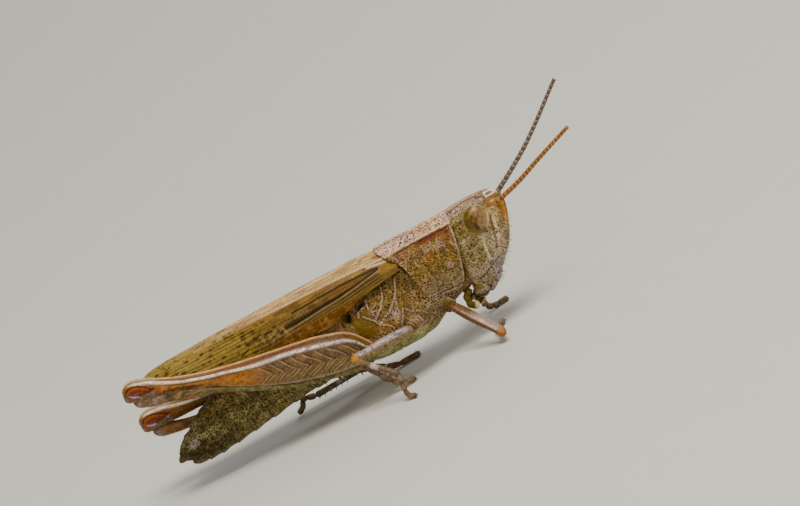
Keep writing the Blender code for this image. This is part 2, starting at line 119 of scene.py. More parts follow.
# %% [markdown]
# ## Curves, masks and noise
# A plate is a grid of points: rings along the body, points round each ring. Tables of a few named stations
# give the rings, joined by a curve that never swings past its stations. A marking is a mask from 0 to 1 on
# the same grid.

# %% Curves through the rows of a table
def curve(rows, at):
    """The columns of a table at the places `at`, on a smooth curve that never overshoots its rows."""
    rows = np.array(rows, float)
    at = np.atleast_1d(np.asarray(at, float))
    x, v = rows[:, 0], rows[:, 1:]
    step = np.diff(x)[:, None]
    slope = np.diff(v, axis=0) / step
    lean = np.zeros_like(v)
    lean[0], lean[-1] = slope[0], slope[-1]
    before, after = slope[:-1], slope[1:]
    same_way = before * after > 0
    lean[1:-1] = np.where(same_way, 2 * before * after / np.where(same_way, before + after, 1), 0)
    i = np.clip(np.searchsorted(x, at, side="right") - 1, 0, len(x) - 2)
    t, h = ((at - x[i]) / step[i, 0])[:, None], step[i]
    rise_part = t**2 * (3 - 2 * t) * v[i + 1] + t**2 * (t - 1) * h * lean[i + 1]
    return (1 + 2 * t) * (1 - t) ** 2 * v[i] + t * (1 - t) ** 2 * h * lean[i] + rise_part


def columns(rows, at):
    """The same curve, one column at a time, each standing upright so that it meets a row of turns."""
    return [column[:, None] for column in curve(rows, at).T]


def full_turn(count):
    """Even turns round a ring, without the last one that would meet the first."""
    return np.linspace(0, 2 * math.pi, count, endpoint=False)


def power(value, exponent):
    return np.sign(value) * np.abs(value) ** exponent


print("a curve through 0, 1 and 1 stays level past the middle:", curve([(0, 0), (1, 1), (2, 1)], 1.5))


# %% Masks: soft edges, stripes, dabs and lines
def fade(x, start, end):
    """0 before the start, 1 after the end, and smooth between them."""
    t = np.clip((x - start) / (end - start), 0, 1)
    return t * t * (3 - 2 * t)


def fall(x, start, end):
    """1 before the start, 0 after the end."""
    return 1 - fade(x, start, end)


def within(x, start, end, soft):
    return fade(x, start - soft, start + soft) * fall(x, end - soft, end + soft)


def band(x, centre, half_width):
    """A soft stripe about a centre line."""
    return np.exp(-(((x - centre) / half_width) ** 2))


def dab(x, z, centre, radius, squeeze=(1, 1)):
    """A soft round patch, or an oval one where a direction is squeezed."""
    return band(np.hypot((x - centre[0]) * squeeze[0], (z - centre[1]) * squeeze[1]), 0, radius)


def stroke(x, z, line, half_width):
    """A soft line drawn through the points of `line` in a side, front or top view."""
    nearest = np.full(np.shape(x), 1e9)
    for (x0, z0), (x1, z1) in zip(line, line[1:]):
        dx, dz = x1 - x0, z1 - z0
        t = np.clip(((x - x0) * dx + (z - z0) * dz) / (dx * dx + dz * dz), 0, 1)
        nearest = np.minimum(nearest, np.hypot(x - x0 - t * dx, z - z0 - t * dz))
    return np.exp(-((nearest / half_width) ** 2))


def seen_beside(points):
    """How far ahead and how high each point shows to someone beside the animal, a little ahead and above."""
    aside = -np.abs(points[..., 1])
    ahead = points[..., 0] * math.cos(AZIMUTH) + aside * math.sin(AZIMUTH)
    depth = aside * math.cos(AZIMUTH) - points[..., 0] * math.sin(AZIMUTH)
    return ahead, points[..., 2] * math.cos(ELEVATION) + depth * math.sin(ELEVATION)


print("half way up a soft edge:", fade(0.5, 0, 1))


# %% Noise that is the same on each run
def lattice(cells, seed):
    """A fixed random number from 0 to 1 for each cell of whole numbers."""
    mixed = (cells * np.array([374761393, 668265263, 1274126177])).sum(-1) + seed * 144269504
    mixed = (mixed ^ (mixed >> 13)) * 1103515245 & 0x7FFFFFFF
    return ((mixed ^ (mixed >> 11)) & 0xFFFF) / 65535


def grain(points, size, seed):
    """Smooth noise from 0 to 1 whose lumps are `size` mm across."""
    place = points / size
    cell = np.floor(place).astype(np.int64)
    t = place - cell
    t = t * t * (3 - 2 * t)
    total = 0
    for corner in np.ndindex(2, 2, 2):
        share = np.prod(np.where(corner, t, 1 - t), axis=-1)
        total = total + share * lattice(cell + corner, seed)
    return total


def blots(points, size, seed, low, high):
    """Patches with soft edges, where the smooth noise is strong."""
    return fade(grain(points, size, seed), low, high)


def squiggles(points, size, seed, half_width):
    """Fine wavy lines, where the smooth noise crosses its middle."""
    return band(grain(points, size, seed), 0.5, half_width)


def spots(points, size, share, seed):
    """Round spots: the given share of cells `size` mm wide holds one each, somewhere inside its cell."""
    place = points / size
    cell = np.floor(place).astype(np.int64)
    mask = np.zeros(points.shape[:-1])
    for near in np.ndindex(3, 3, 3):
        home = cell + np.array(near) - 1
        shift = np.stack([lattice(home, seed + k) for k in (1, 2, 3)], -1)
        gap = np.linalg.norm(place - home - shift, axis=-1)
        reach = 0.28 + 0.3 * lattice(home, seed + 4)
        mask = np.maximum(mask, (lattice(home, seed) < share) * fall(gap, reach * 0.6, reach))
    return mask


print("one corner of the noise:", grain(np.zeros((1, 3)), 1.0, 1))


# %% Helpers for colour
def linear(hex_colour):
    """A colour written as on screen, turned to the linear light that Blender mixes."""
    parts = [int(hex_colour[i : i + 2], 16) / 255 for i in (1, 3, 5)]
    return np.array([c / 12.92 if c <= 0.04045 else ((c + 0.055) / 1.055) ** 2.4 for c in parts])


def paint(ground, *layers):
    """Colours on a grid: a ground array or hex, then (mask, hex) layers, each over those before it."""
    shape = np.shape(layers[0][0])
    colour = np.broadcast_to(linear(ground), shape + (3,)) if isinstance(ground, str) else ground
    for mask, hex_colour in layers:
        mask = np.clip(mask, 0, 1)[..., None]
        colour = colour * (1 - mask) + linear(hex_colour) * mask
    return colour


print("mid grey on screen is", linear("#808080")[0].round(3), "in linear light")

# %% Helpers that turn a grid into a plate
# Out of doors, grass throws green light on the shell; under plain studio light it is a little browner.
NEUTRAL = np.array([0.97, 0.87, 0.93])
PIT_SHADE = 0.1  # how much darker a plate is where it is full of pits


def normals_of(grid):
    """The outward direction at each point of a grid whose rings are closed."""
    along = np.gradient(grid, axis=0)
    around = np.roll(grid, -1, 1) - np.roll(grid, 1, 1)
    out = np.cross(along, around)
    out /= np.linalg.norm(out, axis=2, keepdims=True) + 1e-12
    outward = np.sum(out * (grid - grid.mean(1, keepdims=True))) > 0
    return out if outward else -out


def raised(grid, height):
    """The grid moved along its normals by a height in mm at each point."""
    return grid + normals_of(grid) * np.asarray(height)[..., None]


def closed_plate(name, grid, colour, pits, material, hair=None):
    """One closed mesh from rings of points, with a point that closes each end, and its markings."""
    count, around = grid.shape[:2]
    colour = colour * (1 - PIT_SHADE * np.broadcast_to(pits, (count, around)))[..., None] * NEUTRAL
    ends = [grid[0].mean(0), grid[-1].mean(0)]
    points = np.concatenate([grid.reshape(-1, 3), ends])
    i, j = np.meshgrid(np.arange(count - 1), np.arange(around), indexing="ij")
    k = (j + 1) % around
    quads = np.stack([i * around + j, i * around + k, (i + 1) * around + k, (i + 1) * around + j], -1)
    faces = quads.reshape(-1, 4).tolist()
    last = (count - 1) * around
    for j in range(around):
        k = (j + 1) % around
        faces.append([count * around, k, j])
        faces.append([count * around + 1, last + j, last + k])
    mesh = bpy.data.meshes.new(name)
    mesh.from_pydata(metres(points).tolist(), [], faces)
    store_tint(mesh, np.concatenate([colour.reshape(-1, 3), [colour[0].mean(0), colour[-1].mean(0)]]))
    for label, values in (("pits", pits), ("hair", hair)):
        values = np.broadcast_to(0.0 if values is None else values, (count, around)).ravel()
        values = np.concatenate([values, [values[0], values[-1]]])
        mesh.attributes.new(label, "FLOAT", "POINT").data.foreach_set("value", values)
    unwrap(mesh, count, around)
    shape = bmesh.new()
    shape.from_mesh(mesh)
    bmesh.ops.recalc_face_normals(shape, faces=shape.faces)
    shape.to_mesh(mesh)
    shape.free()
    mesh.shade_smooth()
    mesh.materials.append(material)
    return linked(name, mesh)


def store_tint(mesh, colours):
    """Keeps a colour for each point, which the materials read."""
    rgba = np.concatenate([colours, np.ones((len(colours), 1))], 1)
    mesh.color_attributes.new("tint", "FLOAT_COLOR", "POINT").data.foreach_set("color", rgba.ravel())


def told(name, height):
    print(f"{name}: relief from {height.min():.3f} to {height.max():.3f} mm")


# %% An unwrap, and a piece's place on the animal
UV_MARGIN = 0.01


def unwrap(mesh, count, around):
    """A plain unwrap of a grid: along the plate from left to right, round it from bottom to top."""
    corners = np.empty(len(mesh.loops), int)
    mesh.loops.foreach_get("vertex_index", corners)
    inside = np.minimum(corners, count * around - 1)
    u, v = inside // around / (count - 1), inside % around / around
    starts = np.empty(len(mesh.polygons), int)
    sizes = np.empty(len(mesh.polygons), int)
    mesh.polygons.foreach_get("loop_start", starts)
    mesh.polygons.foreach_get("loop_total", sizes)
    face_of = np.repeat(np.arange(len(starts)), sizes)
    highest = np.maximum.reduceat(v, starts)[face_of]
    v = np.where((highest > 0.75) & (v < 0.25), v + 1, v) * (1 - 2 * UV_MARGIN) + UV_MARGIN
    ends = np.where(corners > count * around, 1.0, u)
    u = np.where(corners == count * around, 0.0, ends) * (1 - 2 * UV_MARGIN) + UV_MARGIN
    layer = mesh.uv_layers.new(name="along_and_round")
    layer.data.foreach_set("uv", np.stack([u, np.minimum(v, 1)], 1).ravel())


def wear(piece, slot, *nodes):
    """Puts a finished piece on the body and hides the solids that it stands for, if any; `slot` is not used.
    """
    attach(piece, "root")
    if nodes:
        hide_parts(*nodes)
    print(
        piece.name, len(piece.data.polygons), "faces,", "for " + " and ".join(nodes) if nodes else "as trim"
    )


def dress(name, grid, colour, pits, material, slot, *nodes, hair=None):
    """Makes a plate from its grid and puts it on the animal."""
    wear(closed_plate(name, grid, colour, pits, material, hair), slot, *nodes)


# %% [markdown]
# ## Chitin
# An insect's plate is chitin and hardened protein, laid down in layers and darkened as it dries. It is a
# little glossy, its refraction is near 1.56, and its face is stippled with pits a tenth of a millimetre
# apart, each a dark point. The painted markings come from the plate itself; the material adds mottling, pits
# and gloss.

# %% Helpers for nodes
def feed(node, inputs):
    """Sets or links inputs. A node given as a value means its first output."""
    for name, value in inputs.items():
        if isinstance(value, bpy.types.Node):
            value = value.outputs[0]
        if isinstance(value, bpy.types.NodeSocket):
            node.id_data.links.new(value, node.inputs[name])
        else:
            node.inputs[name].default_value = value


def add(tree, kind, inputs=None, **settings):
    """Adds a node with its settings, and sets or links its inputs."""
    made = tree.nodes.new(kind)
    for name, value in settings.items():
        setattr(made, name, value)
    feed(made, inputs or {})
    return made


def new_material(name):
    """A material, its tree and the node of its surface."""
    material = bpy.data.materials.new(name)
    material.use_nodes = True
    tree = material.node_tree
    return material, tree, tree.nodes["Principled BSDF"]


def two_tone(name, lump_mm, detail, first, second, roughness):
    """A material whose colour wanders between two tones in soft lumps."""
    material, tree, shader = new_material(name)
    place = add(tree, "ShaderNodeTexCoord").outputs["Object"]
    cloud = add(tree, "ShaderNodeTexNoise", {"Vector": place, "Scale": 1 / (lump_mm * MM), "Detail": detail})
    tones = {0: cloud, 6: (*linear(first), 1), 7: (*linear(second), 1)}
    tone = add(tree, "ShaderNodeMix", tones, data_type="RGBA").outputs[2]
    feed(shader, {"Base Color": tone, "Roughness": roughness})
    return material


print("node helpers:", [made.__name__ for made in (feed, add, new_material, two_tone)])

# %% One material recipe, tuned for each kind of plate
DARK_PIT = "#2A1600"
CHITIN_IOR = 1.5  # a little under the real 1.56, as the dusty outer skin shines less
GRIT_MM = 0.09


def chitin(
    name, pit_mm, pit_dark, lump_mm, lump_depth, roughness, relief_mm,
    coat=0.0, net=0.0, grit=0.22, shine=0.22,
):
    """Chitin with dark pits `pit_mm` apart and blotches `lump_mm` wide, on the plate's own tint."""
    material, tree, shader = new_material(name)
    place = add(tree, "ShaderNodeTexCoord").outputs["Object"]
    tint = add(tree, "ShaderNodeAttribute", attribute_name="tint")
    amount = add(tree, "ShaderNodeAttribute", attribute_name="pits").outputs["Fac"]

    # cells a pit apart, shoved about by a slow wobble so that they stand in no rows
    ripples = {"Vector": place, "Scale": 1 / (2.2 * pit_mm * MM), "Detail": 1.0}
    wobble = add(tree, "ShaderNodeTexNoise", ripples)
    reach = {0: wobble.outputs["Color"], 1: (pit_mm * MM * 0.9,) * 3}
    shove = add(tree, "ShaderNodeVectorMath", reach, operation="MULTIPLY")
    bent = add(tree, "ShaderNodeVectorMath", {0: place, 1: shove}, operation="ADD")
    spacing = {"Vector": bent, "Scale": 1 / (pit_mm * MM), "Randomness": 0.8}
    cells = add(tree, "ShaderNodeTexVoronoi", spacing)
    edges = add(tree, "ShaderNodeTexVoronoi", spacing, feature="DISTANCE_TO_EDGE")
    own_size = add(tree, "ShaderNodeMapRange", {0: cells.outputs["Color"], 1: 0.3, 2: 0.7, 3: 0.27, 4: 0.47})
    nearness = add(tree, "ShaderNodeMath", {0: cells, 1: own_size}, operation="DIVIDE")
    pit = add(tree, "ShaderNodeMapRange", {0: nearness, 1: 1.0, 2: 0.6}, interpolation_type="SMOOTHSTEP")
    pit = add(tree, "ShaderNodeMath", {0: pit, 1: amount}, operation="MULTIPLY")
    wall = add(tree, "ShaderNodeMapRange", {0: edges, 1: 0.16, 2: 0.02}, interpolation_type="SMOOTHSTEP")
    wall = add(tree, "ShaderNodeMath", {0: wall, 1: amount}, operation="MULTIPLY")

    # blotches and grit make the tint lighter and darker, the walls between pits paler, the pits dark
    lumps = {"Vector": place, "Scale": 1 / (lump_mm * MM), "Detail": 4.0, "Roughness": 0.65}
    blotch = add(tree, "ShaderNodeTexNoise", lumps)
    shade = add(tree, "ShaderNodeMapRange", {0: blotch, 1: 0.3, 2: 0.7, 3: 1 - lump_depth, 4: 1 + lump_depth})
    fine = add(tree, "ShaderNodeTexNoise", {"Vector": place, "Scale": 1 / (GRIT_MM * MM), "Detail": 2.0})
    speck = add(tree, "ShaderNodeMapRange", {0: fine, 1: 0.3, 2: 0.7, 3: 1 - grit, 4: 1 + grit})
    shade = add(tree, "ShaderNodeMath", {0: shade, 1: speck}, operation="MULTIPLY")
    lit = add(tree, "ShaderNodeVectorMath", {0: tint, 3: shade}, operation="SCALE")
    brighter = add(tree, "ShaderNodeMath", {0: wall, 1: net, 2: 1.0}, operation="MULTIPLY_ADD")
    paler = add(tree, "ShaderNodeVectorMath", {0: lit, 3: brighter}, operation="SCALE")
    part_pit = add(tree, "ShaderNodeMath", {0: pit, 1: pit_dark}, operation="MULTIPLY")
    tones = {0: part_pit, 6: paler, 7: (*linear(DARK_PIT), 1)}
    tone = add(tree, "ShaderNodeMix", tones, data_type="RGBA").outputs[2]

    # gloss wanders with the blotches; pits are sunk, walls and grit stand up
    span = {0: blotch, 1: 0.25, 2: 0.75, 3: roughness - 0.08, 4: roughness + 0.12}
    rough = add(tree, "ShaderNodeMapRange", span)
    down = add(tree, "ShaderNodeMath", {0: wall, 1: pit}, operation="SUBTRACT")
    height = add(tree, "ShaderNodeMath", {0: fine, 1: 0.25, 2: down}, operation="MULTIPLY_ADD")
    bump = add(tree, "ShaderNodeBump", {"Strength": 0.8, "Distance": relief_mm * MM, "Height": height})
    feed(shader, {"Base Color": tone, "Roughness": rough, "Normal": bump, "IOR": CHITIN_IOR})
    feed(shader, {"Specular IOR Level": shine, "Coat Weight": coat, "Coat Roughness": 0.25})
    return material


PITTED = chitin("pitted_chitin", 0.135, 0.92, 0.5, 0.2, 0.40, 0.03, net=1.0, grit=0.42, shine=0.16)
SMOOTH = chitin("polished_chitin", 0.14, 0.45, 0.35, 0.16, 0.36, 0.006, coat=0.04, grit=0.28, shine=0.1)
WING = chitin("leathery_fore_wing", 0.12, 0.3, 0.3, 0.16, 0.46, 0.006, grit=0.25, shine=0.08)
SPECKLED = chitin("speckled_belly_chitin", 0.155, 0.95, 0.45, 0.3, 0.45, 0.012, net=1.3, grit=0.45, shine=0.1)
LIMB = chitin("limb_chitin", 0.13, 0.6, 0.3, 0.22, 0.4, 0.008, coat=0.05)
print("materials:", [m.name for m in (PITTED, SMOOTH, WING, SPECKLED, LIMB)])

# %% [markdown]
# ## The head
# A grasshopper's head is a tall, blunt capsule that faces forward and slants back to the mouth. Levels one
# above another give its shape, as on a map. On it stand the frontal ridge between the feelers, a keel down
# each cheek, the rim of each eye, and the little oblong pit beside the crown.

# %% Head capsule
HEAD_LEVELS = [
    (2.35, 6.62, 7.05, 7.80, 0.72),
    (2.80, 6.50, 7.10, 8.30, 1.05),
    (3.40, 6.42, 7.20, 8.86, 1.30),
    (4.00, 6.42, 7.35, 9.30, 1.48),
    (4.80, 6.50, 7.55, 9.68, 1.54),
    (5.45, 6.60, 7.75, 9.92, 1.46),
    (5.95, 6.70, 7.80, 10.0, 1.28),
    (6.30, 6.72, 7.80, 9.97, 1.06),
    (6.58, 6.80, 7.80, 9.78, 0.78),
    (6.78, 6.92, 7.85, 9.45, 0.46),
    (6.88, 7.25, 7.95, 9.00, 0.20),
    (6.91, 7.60, 8.00, 8.50, 0.04),
]
HEAD_RINGS, HEAD_ROUND = 150, 240
OUTLINE_STEPS = 4000  # fine enough to measure the outline along
EYE_PLACE = (8.34, 1.16, 5.80)
EYE_RADII = (0.69, 0.48, 0.86)
EYE_LEAN = math.radians(22)


def even_levels(rows, count):
    """Levels spaced evenly along the outline, so that the crown gets as many as the cheeks."""
    z = np.linspace(rows[0][0], rows[-1][0], OUTLINE_STEPS)
    outline = np.column_stack([z, curve(rows, z)[:, [1, 2, 3]]])
    length = np.concatenate([[0], np.cumsum(np.linalg.norm(np.diff(outline, axis=0), axis=1))])
    return np.interp(np.linspace(0, length[-1], count), length, z)


def eye_frame(points, side):
    """Places relative to an eye, ahead and up along its own leaning axes."""
    away = points - on_side(EYE_PLACE, side)
    ahead = away[..., 0] * math.cos(EYE_LEAN) - away[..., 2] * math.sin(EYE_LEAN)
    return ahead, away[..., 0] * math.sin(EYE_LEAN) + away[..., 2] * math.cos(EYE_LEAN)


turns = full_turn(HEAD_ROUND)
levels = even_levels(HEAD_LEVELS, HEAD_RINGS)
back, widest, front, half = columns(HEAD_LEVELS, levels)
ahead, aside = np.cos(turns)[None], np.sin(turns)[None]
snout = 0.95 + 0.2 * fade(levels, 5.2, 6.3)[:, None]
face_x = widest + (front - widest) * np.abs(ahead) ** snout
nape_x = widest + (widest - back) * power(ahead, 0.5)
x = np.where(ahead >= 0, face_x, nape_x)
y = half * power(aside, np.where(ahead < 0, 0.75, 0.9))
head = np.stack([x, y, np.broadcast_to(levels[:, None], x.shape)], -1)
print("head grid", head.shape[:2], "points, tall", np.ptp(head[..., 2]).round(2), "mm")

# %% Relief of the head: ridges, rims and the simple eyes
SOCKET_MIDDLE = (9.38, 0.50, 5.94)
x, y, z = head[..., 0], np.abs(head[..., 1]), head[..., 2]
ahead, up = seen_beside(head)
ridge_gap = 0.20 + 0.10 * fade(5.9 - z, 0, 1.6)
ridge = band(y, ridge_gap, 0.06) * fade(x, 8.6, 9.2) * within(z, 3.2, 6.25, 0.15)
groove = band(y, 0, 0.15) * fade(x, 8.6, 9.2) * within(z, 3.3, 5.5, 0.2)
keel = stroke(ahead, up, [(9.0, 5.42), (9.0, 4.95), (8.92, 4.5), (8.76, 4.0), (8.6, 3.55)], 0.06)
furrow = stroke(ahead, up, [(8.92, 5.1), (8.74, 4.4), (8.58, 3.85), (8.42, 3.5)], 0.06)
ring = np.zeros(x.shape)
socket = np.zeros(x.shape)
for _, side in SIDES:
    eye_ahead, eye_up = eye_frame(head, side)
    reach = np.hypot(eye_ahead / (EYE_RADII[0] + 0.05), eye_up / (EYE_RADII[2] + 0.04))
    near = head[..., 1] * side > 0.3
    ring = np.maximum(ring, band(reach, 1.03, 0.07) * near)
    from_root = np.linalg.norm(head - on_side(SOCKET_MIDDLE, side), axis=-1)
    socket = np.maximum(socket, band(from_root, 0.24, 0.07))
oblong = within(ahead, 9.27, 9.72, 0.03) * within(up, 6.12, 6.25, 0.025) * within(y, 0.25, 0.9, 0.05)
oblong_rim = within(ahead, 9.18, 9.84, 0.03) * within(up, 6.03, 6.33, 0.03) * (y < 1.0) * (1 - oblong)
crown_keel = band(y, 0, 0.05) * within(x, 8.0, 9.7, 0.2) * fade(z, 6.3, 6.6)
cheek_edge = stroke(ahead, up, [(8.3, 3.05), (7.9, 2.9), (7.3, 2.62), (6.8, 2.5)], 0.045)
face_edge = band(z, 2.98 + 0.1 * y, 0.04) * fade(x, 8.0, 8.3) * fall(y, 0.8, 0.95)
cheek_edge = np.maximum(cheek_edge, face_edge)
on_front = fade(x, 9, 9.3)
ocelli = dab(y, z, (0, 5.28), 0.09) * on_front + dab(y, z, (0.66, 6.2), 0.08) * on_front
height = 0.07 * ridge - 0.05 * groove + 0.05 * keel - 0.02 * furrow + 0.04 * ring + 0.06 * socket
height = height - 0.04 * oblong + 0.03 * oblong_rim + 0.02 * crown_keel - 0.03 * cheek_edge + 0.05 * ocelli
wrinkle = grain(head, 0.2, 3) - 0.5
height = height + 0.025 * wrinkle * (1 - ring)
head = raised(head, height)
told("head", height)

# %% Markings of the head
occiput = within(up, 5.98, 6.5, 0.05) * fall(ahead, 8.9, 9.1)
crown = fade(up, 6.40, 6.48)
crown_line = stroke(ahead, up, [(7.05, 6.28), (7.5, 6.4), (8.2, 6.44), (8.6, 6.38), (8.95, 6.2)], 0.035)
temple = within(ahead, 6.6, 7.65, 0.12) * within(up, 4.75, 5.68, 0.08)
orange = np.exp(-((((ahead - 9.48) / 0.34) ** 4 + ((up - 5.74) / 0.30) ** 4)))
orange_tail = stroke(ahead, up, [(9.66, 5.4), (9.74, 4.95), (9.54, 4.4)], 0.18)
orange = np.maximum(orange, orange_tail) * (0.45 + 0.55 * fade(y, 0.15, 0.4))
amber_tail = stroke(
    ahead, up, [(9.72, 5.5), (9.76, 4.95), (9.56, 4.45)], 0.13
) * (0.3 + 0.7 * fade(y, 0.15, 0.4))
antenna_shade = stroke(ahead, up, [(9.1, 5.42), (9.6, 5.5)], 0.05)
brow = stroke(ahead, up, [(9.02, 6.0), (9.04, 5.5)], 0.07)
face_pale = within(ahead - 0.25 * (up - 3.2), 8.45, 8.9, 0.12) * within(up, 3.2, 5.2, 0.2)
under_eye = stroke(ahead, up, [(8.02, 4.35), (7.92, 3.9), (7.85, 3.55), (7.86, 3.2)], 0.08)
grey_under = stroke(ahead, up, [(8.0, 4.38), (8.45, 4.5)], 0.16)
grey_spot = dab(ahead, up, (8.12, 3.05), 0.17, (1, 1.2))
low_face = within(ahead, 7.7, 8.5, 0.1) * within(up, 2.2, 2.8, 0.1)
cheek = within(up, 2.6, 5.0, 0.3) * within(ahead, 6.6, 8.5, 0.1)
wavy = blots(head, 0.16, 6, 0.56, 0.7)
head_colour = paint(
    "#706437",
    (blots(head, 0.5, 5, 0.35, 0.65) * 0.7, "#82774A"),
    (cheek * blots(head, 0.9, 7, 0.4, 0.6) * 0.6, "#62572B"),
    (cheek * wavy * 0.35, "#AA9D77"),
    (cheek * squiggles(head, 0.2, 8, 0.06) * 0.5, "#998F69"),
    (fall(up, 3.0, 3.4) * 0.55, "#9A8D72"),
    (temple * 0.8, "#534413"),
    (temple * band(np.hypot((ahead - 7.2) / 0.3, (up - 5.1) / 0.25), 1.0, 0.25) * 0.5, "#857C3C"),
    (temple * squiggles(head, 0.19, 10, 0.07) * 0.7, "#796D36"),
    (band(up, 5.72, 0.04) * within(ahead, 6.85, 7.6, 0.06) * 0.9, "#A4935A"),
    (occiput, "#947F68"),
    (occiput * wavy * 0.5, "#BCA589"),
    (crown, "#B49766"),
    (crown_line * 0.9, "#3E2A1C"),
    (face_pale * 0.6, "#B3A05E"),
    (within(ahead, 8.1, 8.75, 0.15) * within(up, 3.2, 4.4, 0.2) * 0.6, "#B3A680"),
    (grey_under * 0.7, "#857F68"),
    (keel * 0.95, "#CDBE94"),
    (stroke(ahead, up, [(8.5, 3.3), (8.7, 3.6), (8.95, 4.0)], 0.2) * 0.5, "#B0A184"),
    (furrow * 0.9, "#4E2A16"),
    (under_eye * 0.85, "#C4B48A"),
    (grey_spot * 0.9, "#97919E"),
    (low_face * 0.6, "#85808A"),
    (orange, "#885C03"),
    (amber_tail, "#B97F08"),
    (antenna_shade * 0.7, "#D2A06A"),
    (brow * 0.8, "#7A5C1C"),
    (ring * 0.3, "#6A6030"),
    (band(y, 0, 0.3) * fade(x, 8.9, 9.3) * fade(z, 6.45, 6.6), "#A88A5C"),
    (oblong_rim, "#EBDDD8"),
    (oblong * 0.9, "#7C655C"),
    (ridge * fade(-z, -5.6, -5.0) * 0.4, "#C29A50"),
    (groove * 0.4, "#7E5A2A"),
    (socket * 0.5, "#8D8157"),
    (cheek_edge * 0.6, "#4E3C22"),
    (ocelli, "#D8C890"),
)
head_pits = 0.85 - ocelli - orange - oblong_rim - oblong - 0.8 * ring - socket - grey_spot - crown * 0.6
head_pits = np.clip(head_pits, 0, 1)
lower = fall(z, 3.2, 4.1)
head_hair = fade(x, 8.3, 8.8) * fall(z, 4.8, 5.6) * 0.6 + 0.7 * lower * fade(x, 7.4, 7.8)
# painted light: the rear of the head, shaded by the saddle's front edge, is painted up to half again lighter
# to lift that shade; the whole head is a little lighter besides
head_colour = head_colour * (1.09 + 0.5 * fall(head[..., 0], 6.6, 6.95))[..., None]
dress("head_shell", head, head_colour, head_pits, PITTED, "cuticle", "head", hair=head_hair)

# %% [markdown]
# ## The eyes
# Each compound eye is a glossy egg, broad above and drawn in below, set deep in the side of the head. It is
# olive brown behind and tan in front. Its thousands of lenses are far too fine to see one by one, so a
# shallow grain stands for them, about twice as coarse.

# %% The lenses' material
LENS_MM = 0.045  # about twice the real width, so that they show


def eye_material():
    """A compound eye: clear lenses over pigment, wet-looking, so a clear coat over the painted tint."""
    material, tree, shader = new_material("compound_eye_lenses")
    place = add(tree, "ShaderNodeTexCoord").outputs["Object"]
    tint = add(tree, "ShaderNodeAttribute", attribute_name="tint")
    cloud = add(tree, "ShaderNodeTexNoise", {"Vector": place, "Scale": 1 / (0.22 * MM), "Detail": 3.0})
    shade = add(tree, "ShaderNodeMapRange", {0: cloud, 1: 0.3, 2: 0.7, 3: 0.72, 4: 1.25})
    lit = add(tree, "ShaderNodeVectorMath", {0: tint, 3: shade}, operation="SCALE")
    facets = {"Vector": place, "Scale": 1 / (LENS_MM * MM), "Randomness": 0.25}
    lens = add(tree, "ShaderNodeTexVoronoi", facets)
    grooves = {"Strength": 0.35, "Distance": 0.004 * MM, "Height": lens}
    bump = add(tree, "ShaderNodeBump", grooves, invert=True)
    feed(shader, {"Base Color": lit, "Normal": bump, "Roughness": 0.4, "Specular IOR Level": 0.2})
    feed(shader, {"Coat Weight": 0.12, "Coat Roughness": 0.12})
    return material


EYE = eye_material()
print("lenses", LENS_MM, "mm apart")

# %% Compound eyes
EYE_RINGS, EYE_ROUND = 60, 96
EYE_POLE = 0.02  # how far from the very pole the first ring lies, in radians
for side_name, side in SIDES:
    polar = np.linspace(EYE_POLE, math.pi - EYE_POLE, EYE_RINGS)[:, None]
    turns = full_turn(EYE_ROUND)[None]
    across_eye, up_eye = np.sin(polar) * np.cos(turns), np.sin(polar) * np.sin(turns)
    broad = 1 + 0.10 * up_eye - 0.05 * up_eye**2
    ahead = EYE_RADII[0] * across_eye * broad
    up = EYE_RADII[2] * up_eye
    out = EYE_RADII[1] * np.cos(polar) * side + 0 * turns
    eye = np.stack(
        [
            EYE_PLACE[0] + ahead * math.cos(EYE_LEAN) + up * math.sin(EYE_LEAN),
            EYE_PLACE[1] * side + out,
            EYE_PLACE[2] + up * math.cos(EYE_LEAN) - ahead * math.sin(EYE_LEAN),
        ],
        -1,
    )
    ahead, up = seen_beside(eye)
    ragged = 0.5 * (grain(eye, 0.22, 9) - 0.5)
    fore = fade(ahead + ragged, 8.16, 8.42)
    dark_mid = blots(eye, 0.15, 12, 0.54, 0.64) * within(ahead, 7.85, 8.5, 0.12) * within(up, 4.8, 5.75, 0.15)
    pale_rim = stroke(ahead, up, [(8.97, 5.85), (8.93, 5.45), (8.75, 5.0), (8.55, 4.65)], 0.07)
    eye_colour = paint(
        "#634C06",
        (blots(eye, 0.2, 11, 0.45, 0.6) * 0.7, "#706417"),
        (dark_mid * 0.85, "#341E06"),
        (fade(up, 5.85, 6.0) * (1 - fore) * 0.5, "#857250"),
        (fore, "#9C7E4A"),
        (fore * fade(up, 5.2, 5.8) * 0.7, "#AE9064"),
        (fore * blots(eye * (1.5, 1, 0.6), 0.13, 13, 0.48, 0.6) * 0.6, "#664A20"),
        (fore * squiggles(eye, 0.15, 14, 0.09) * 0.45, "#6A4C22"),
        (fore * fall(up, 4.7, 5.2) * 0.7, "#968C68"),
        (pale_rim * 0.95, "#D2BE80"),
        # painted highlight: a white glint at the eye's upper front corner
        (stroke(ahead, up, [(8.8, 6.08), (8.98, 5.95)], 0.07) * 0.9, "#EBDDC4"),
        (fall(up, 4.5, 4.8) * 0.7, "#8A8258"),
        (fall(ahead, 7.55, 7.72), "#584A14"),
    )
    dress(f"compound_eye_{side_name}", eye, eye_colour, 0.0, EYE, "eye", f"eye_{side_name}")

# %% [markdown]
# ## The pronotum
# The saddle behind the head is one plate, folded down over both sides. Three keels run along it: a low one
# down the middle and a cream one on each shoulder that draws in at the waist. A furrow crosses it past the
# middle. The plate is a thin sheet, so its section goes out along the top and comes back a little way
# inside.

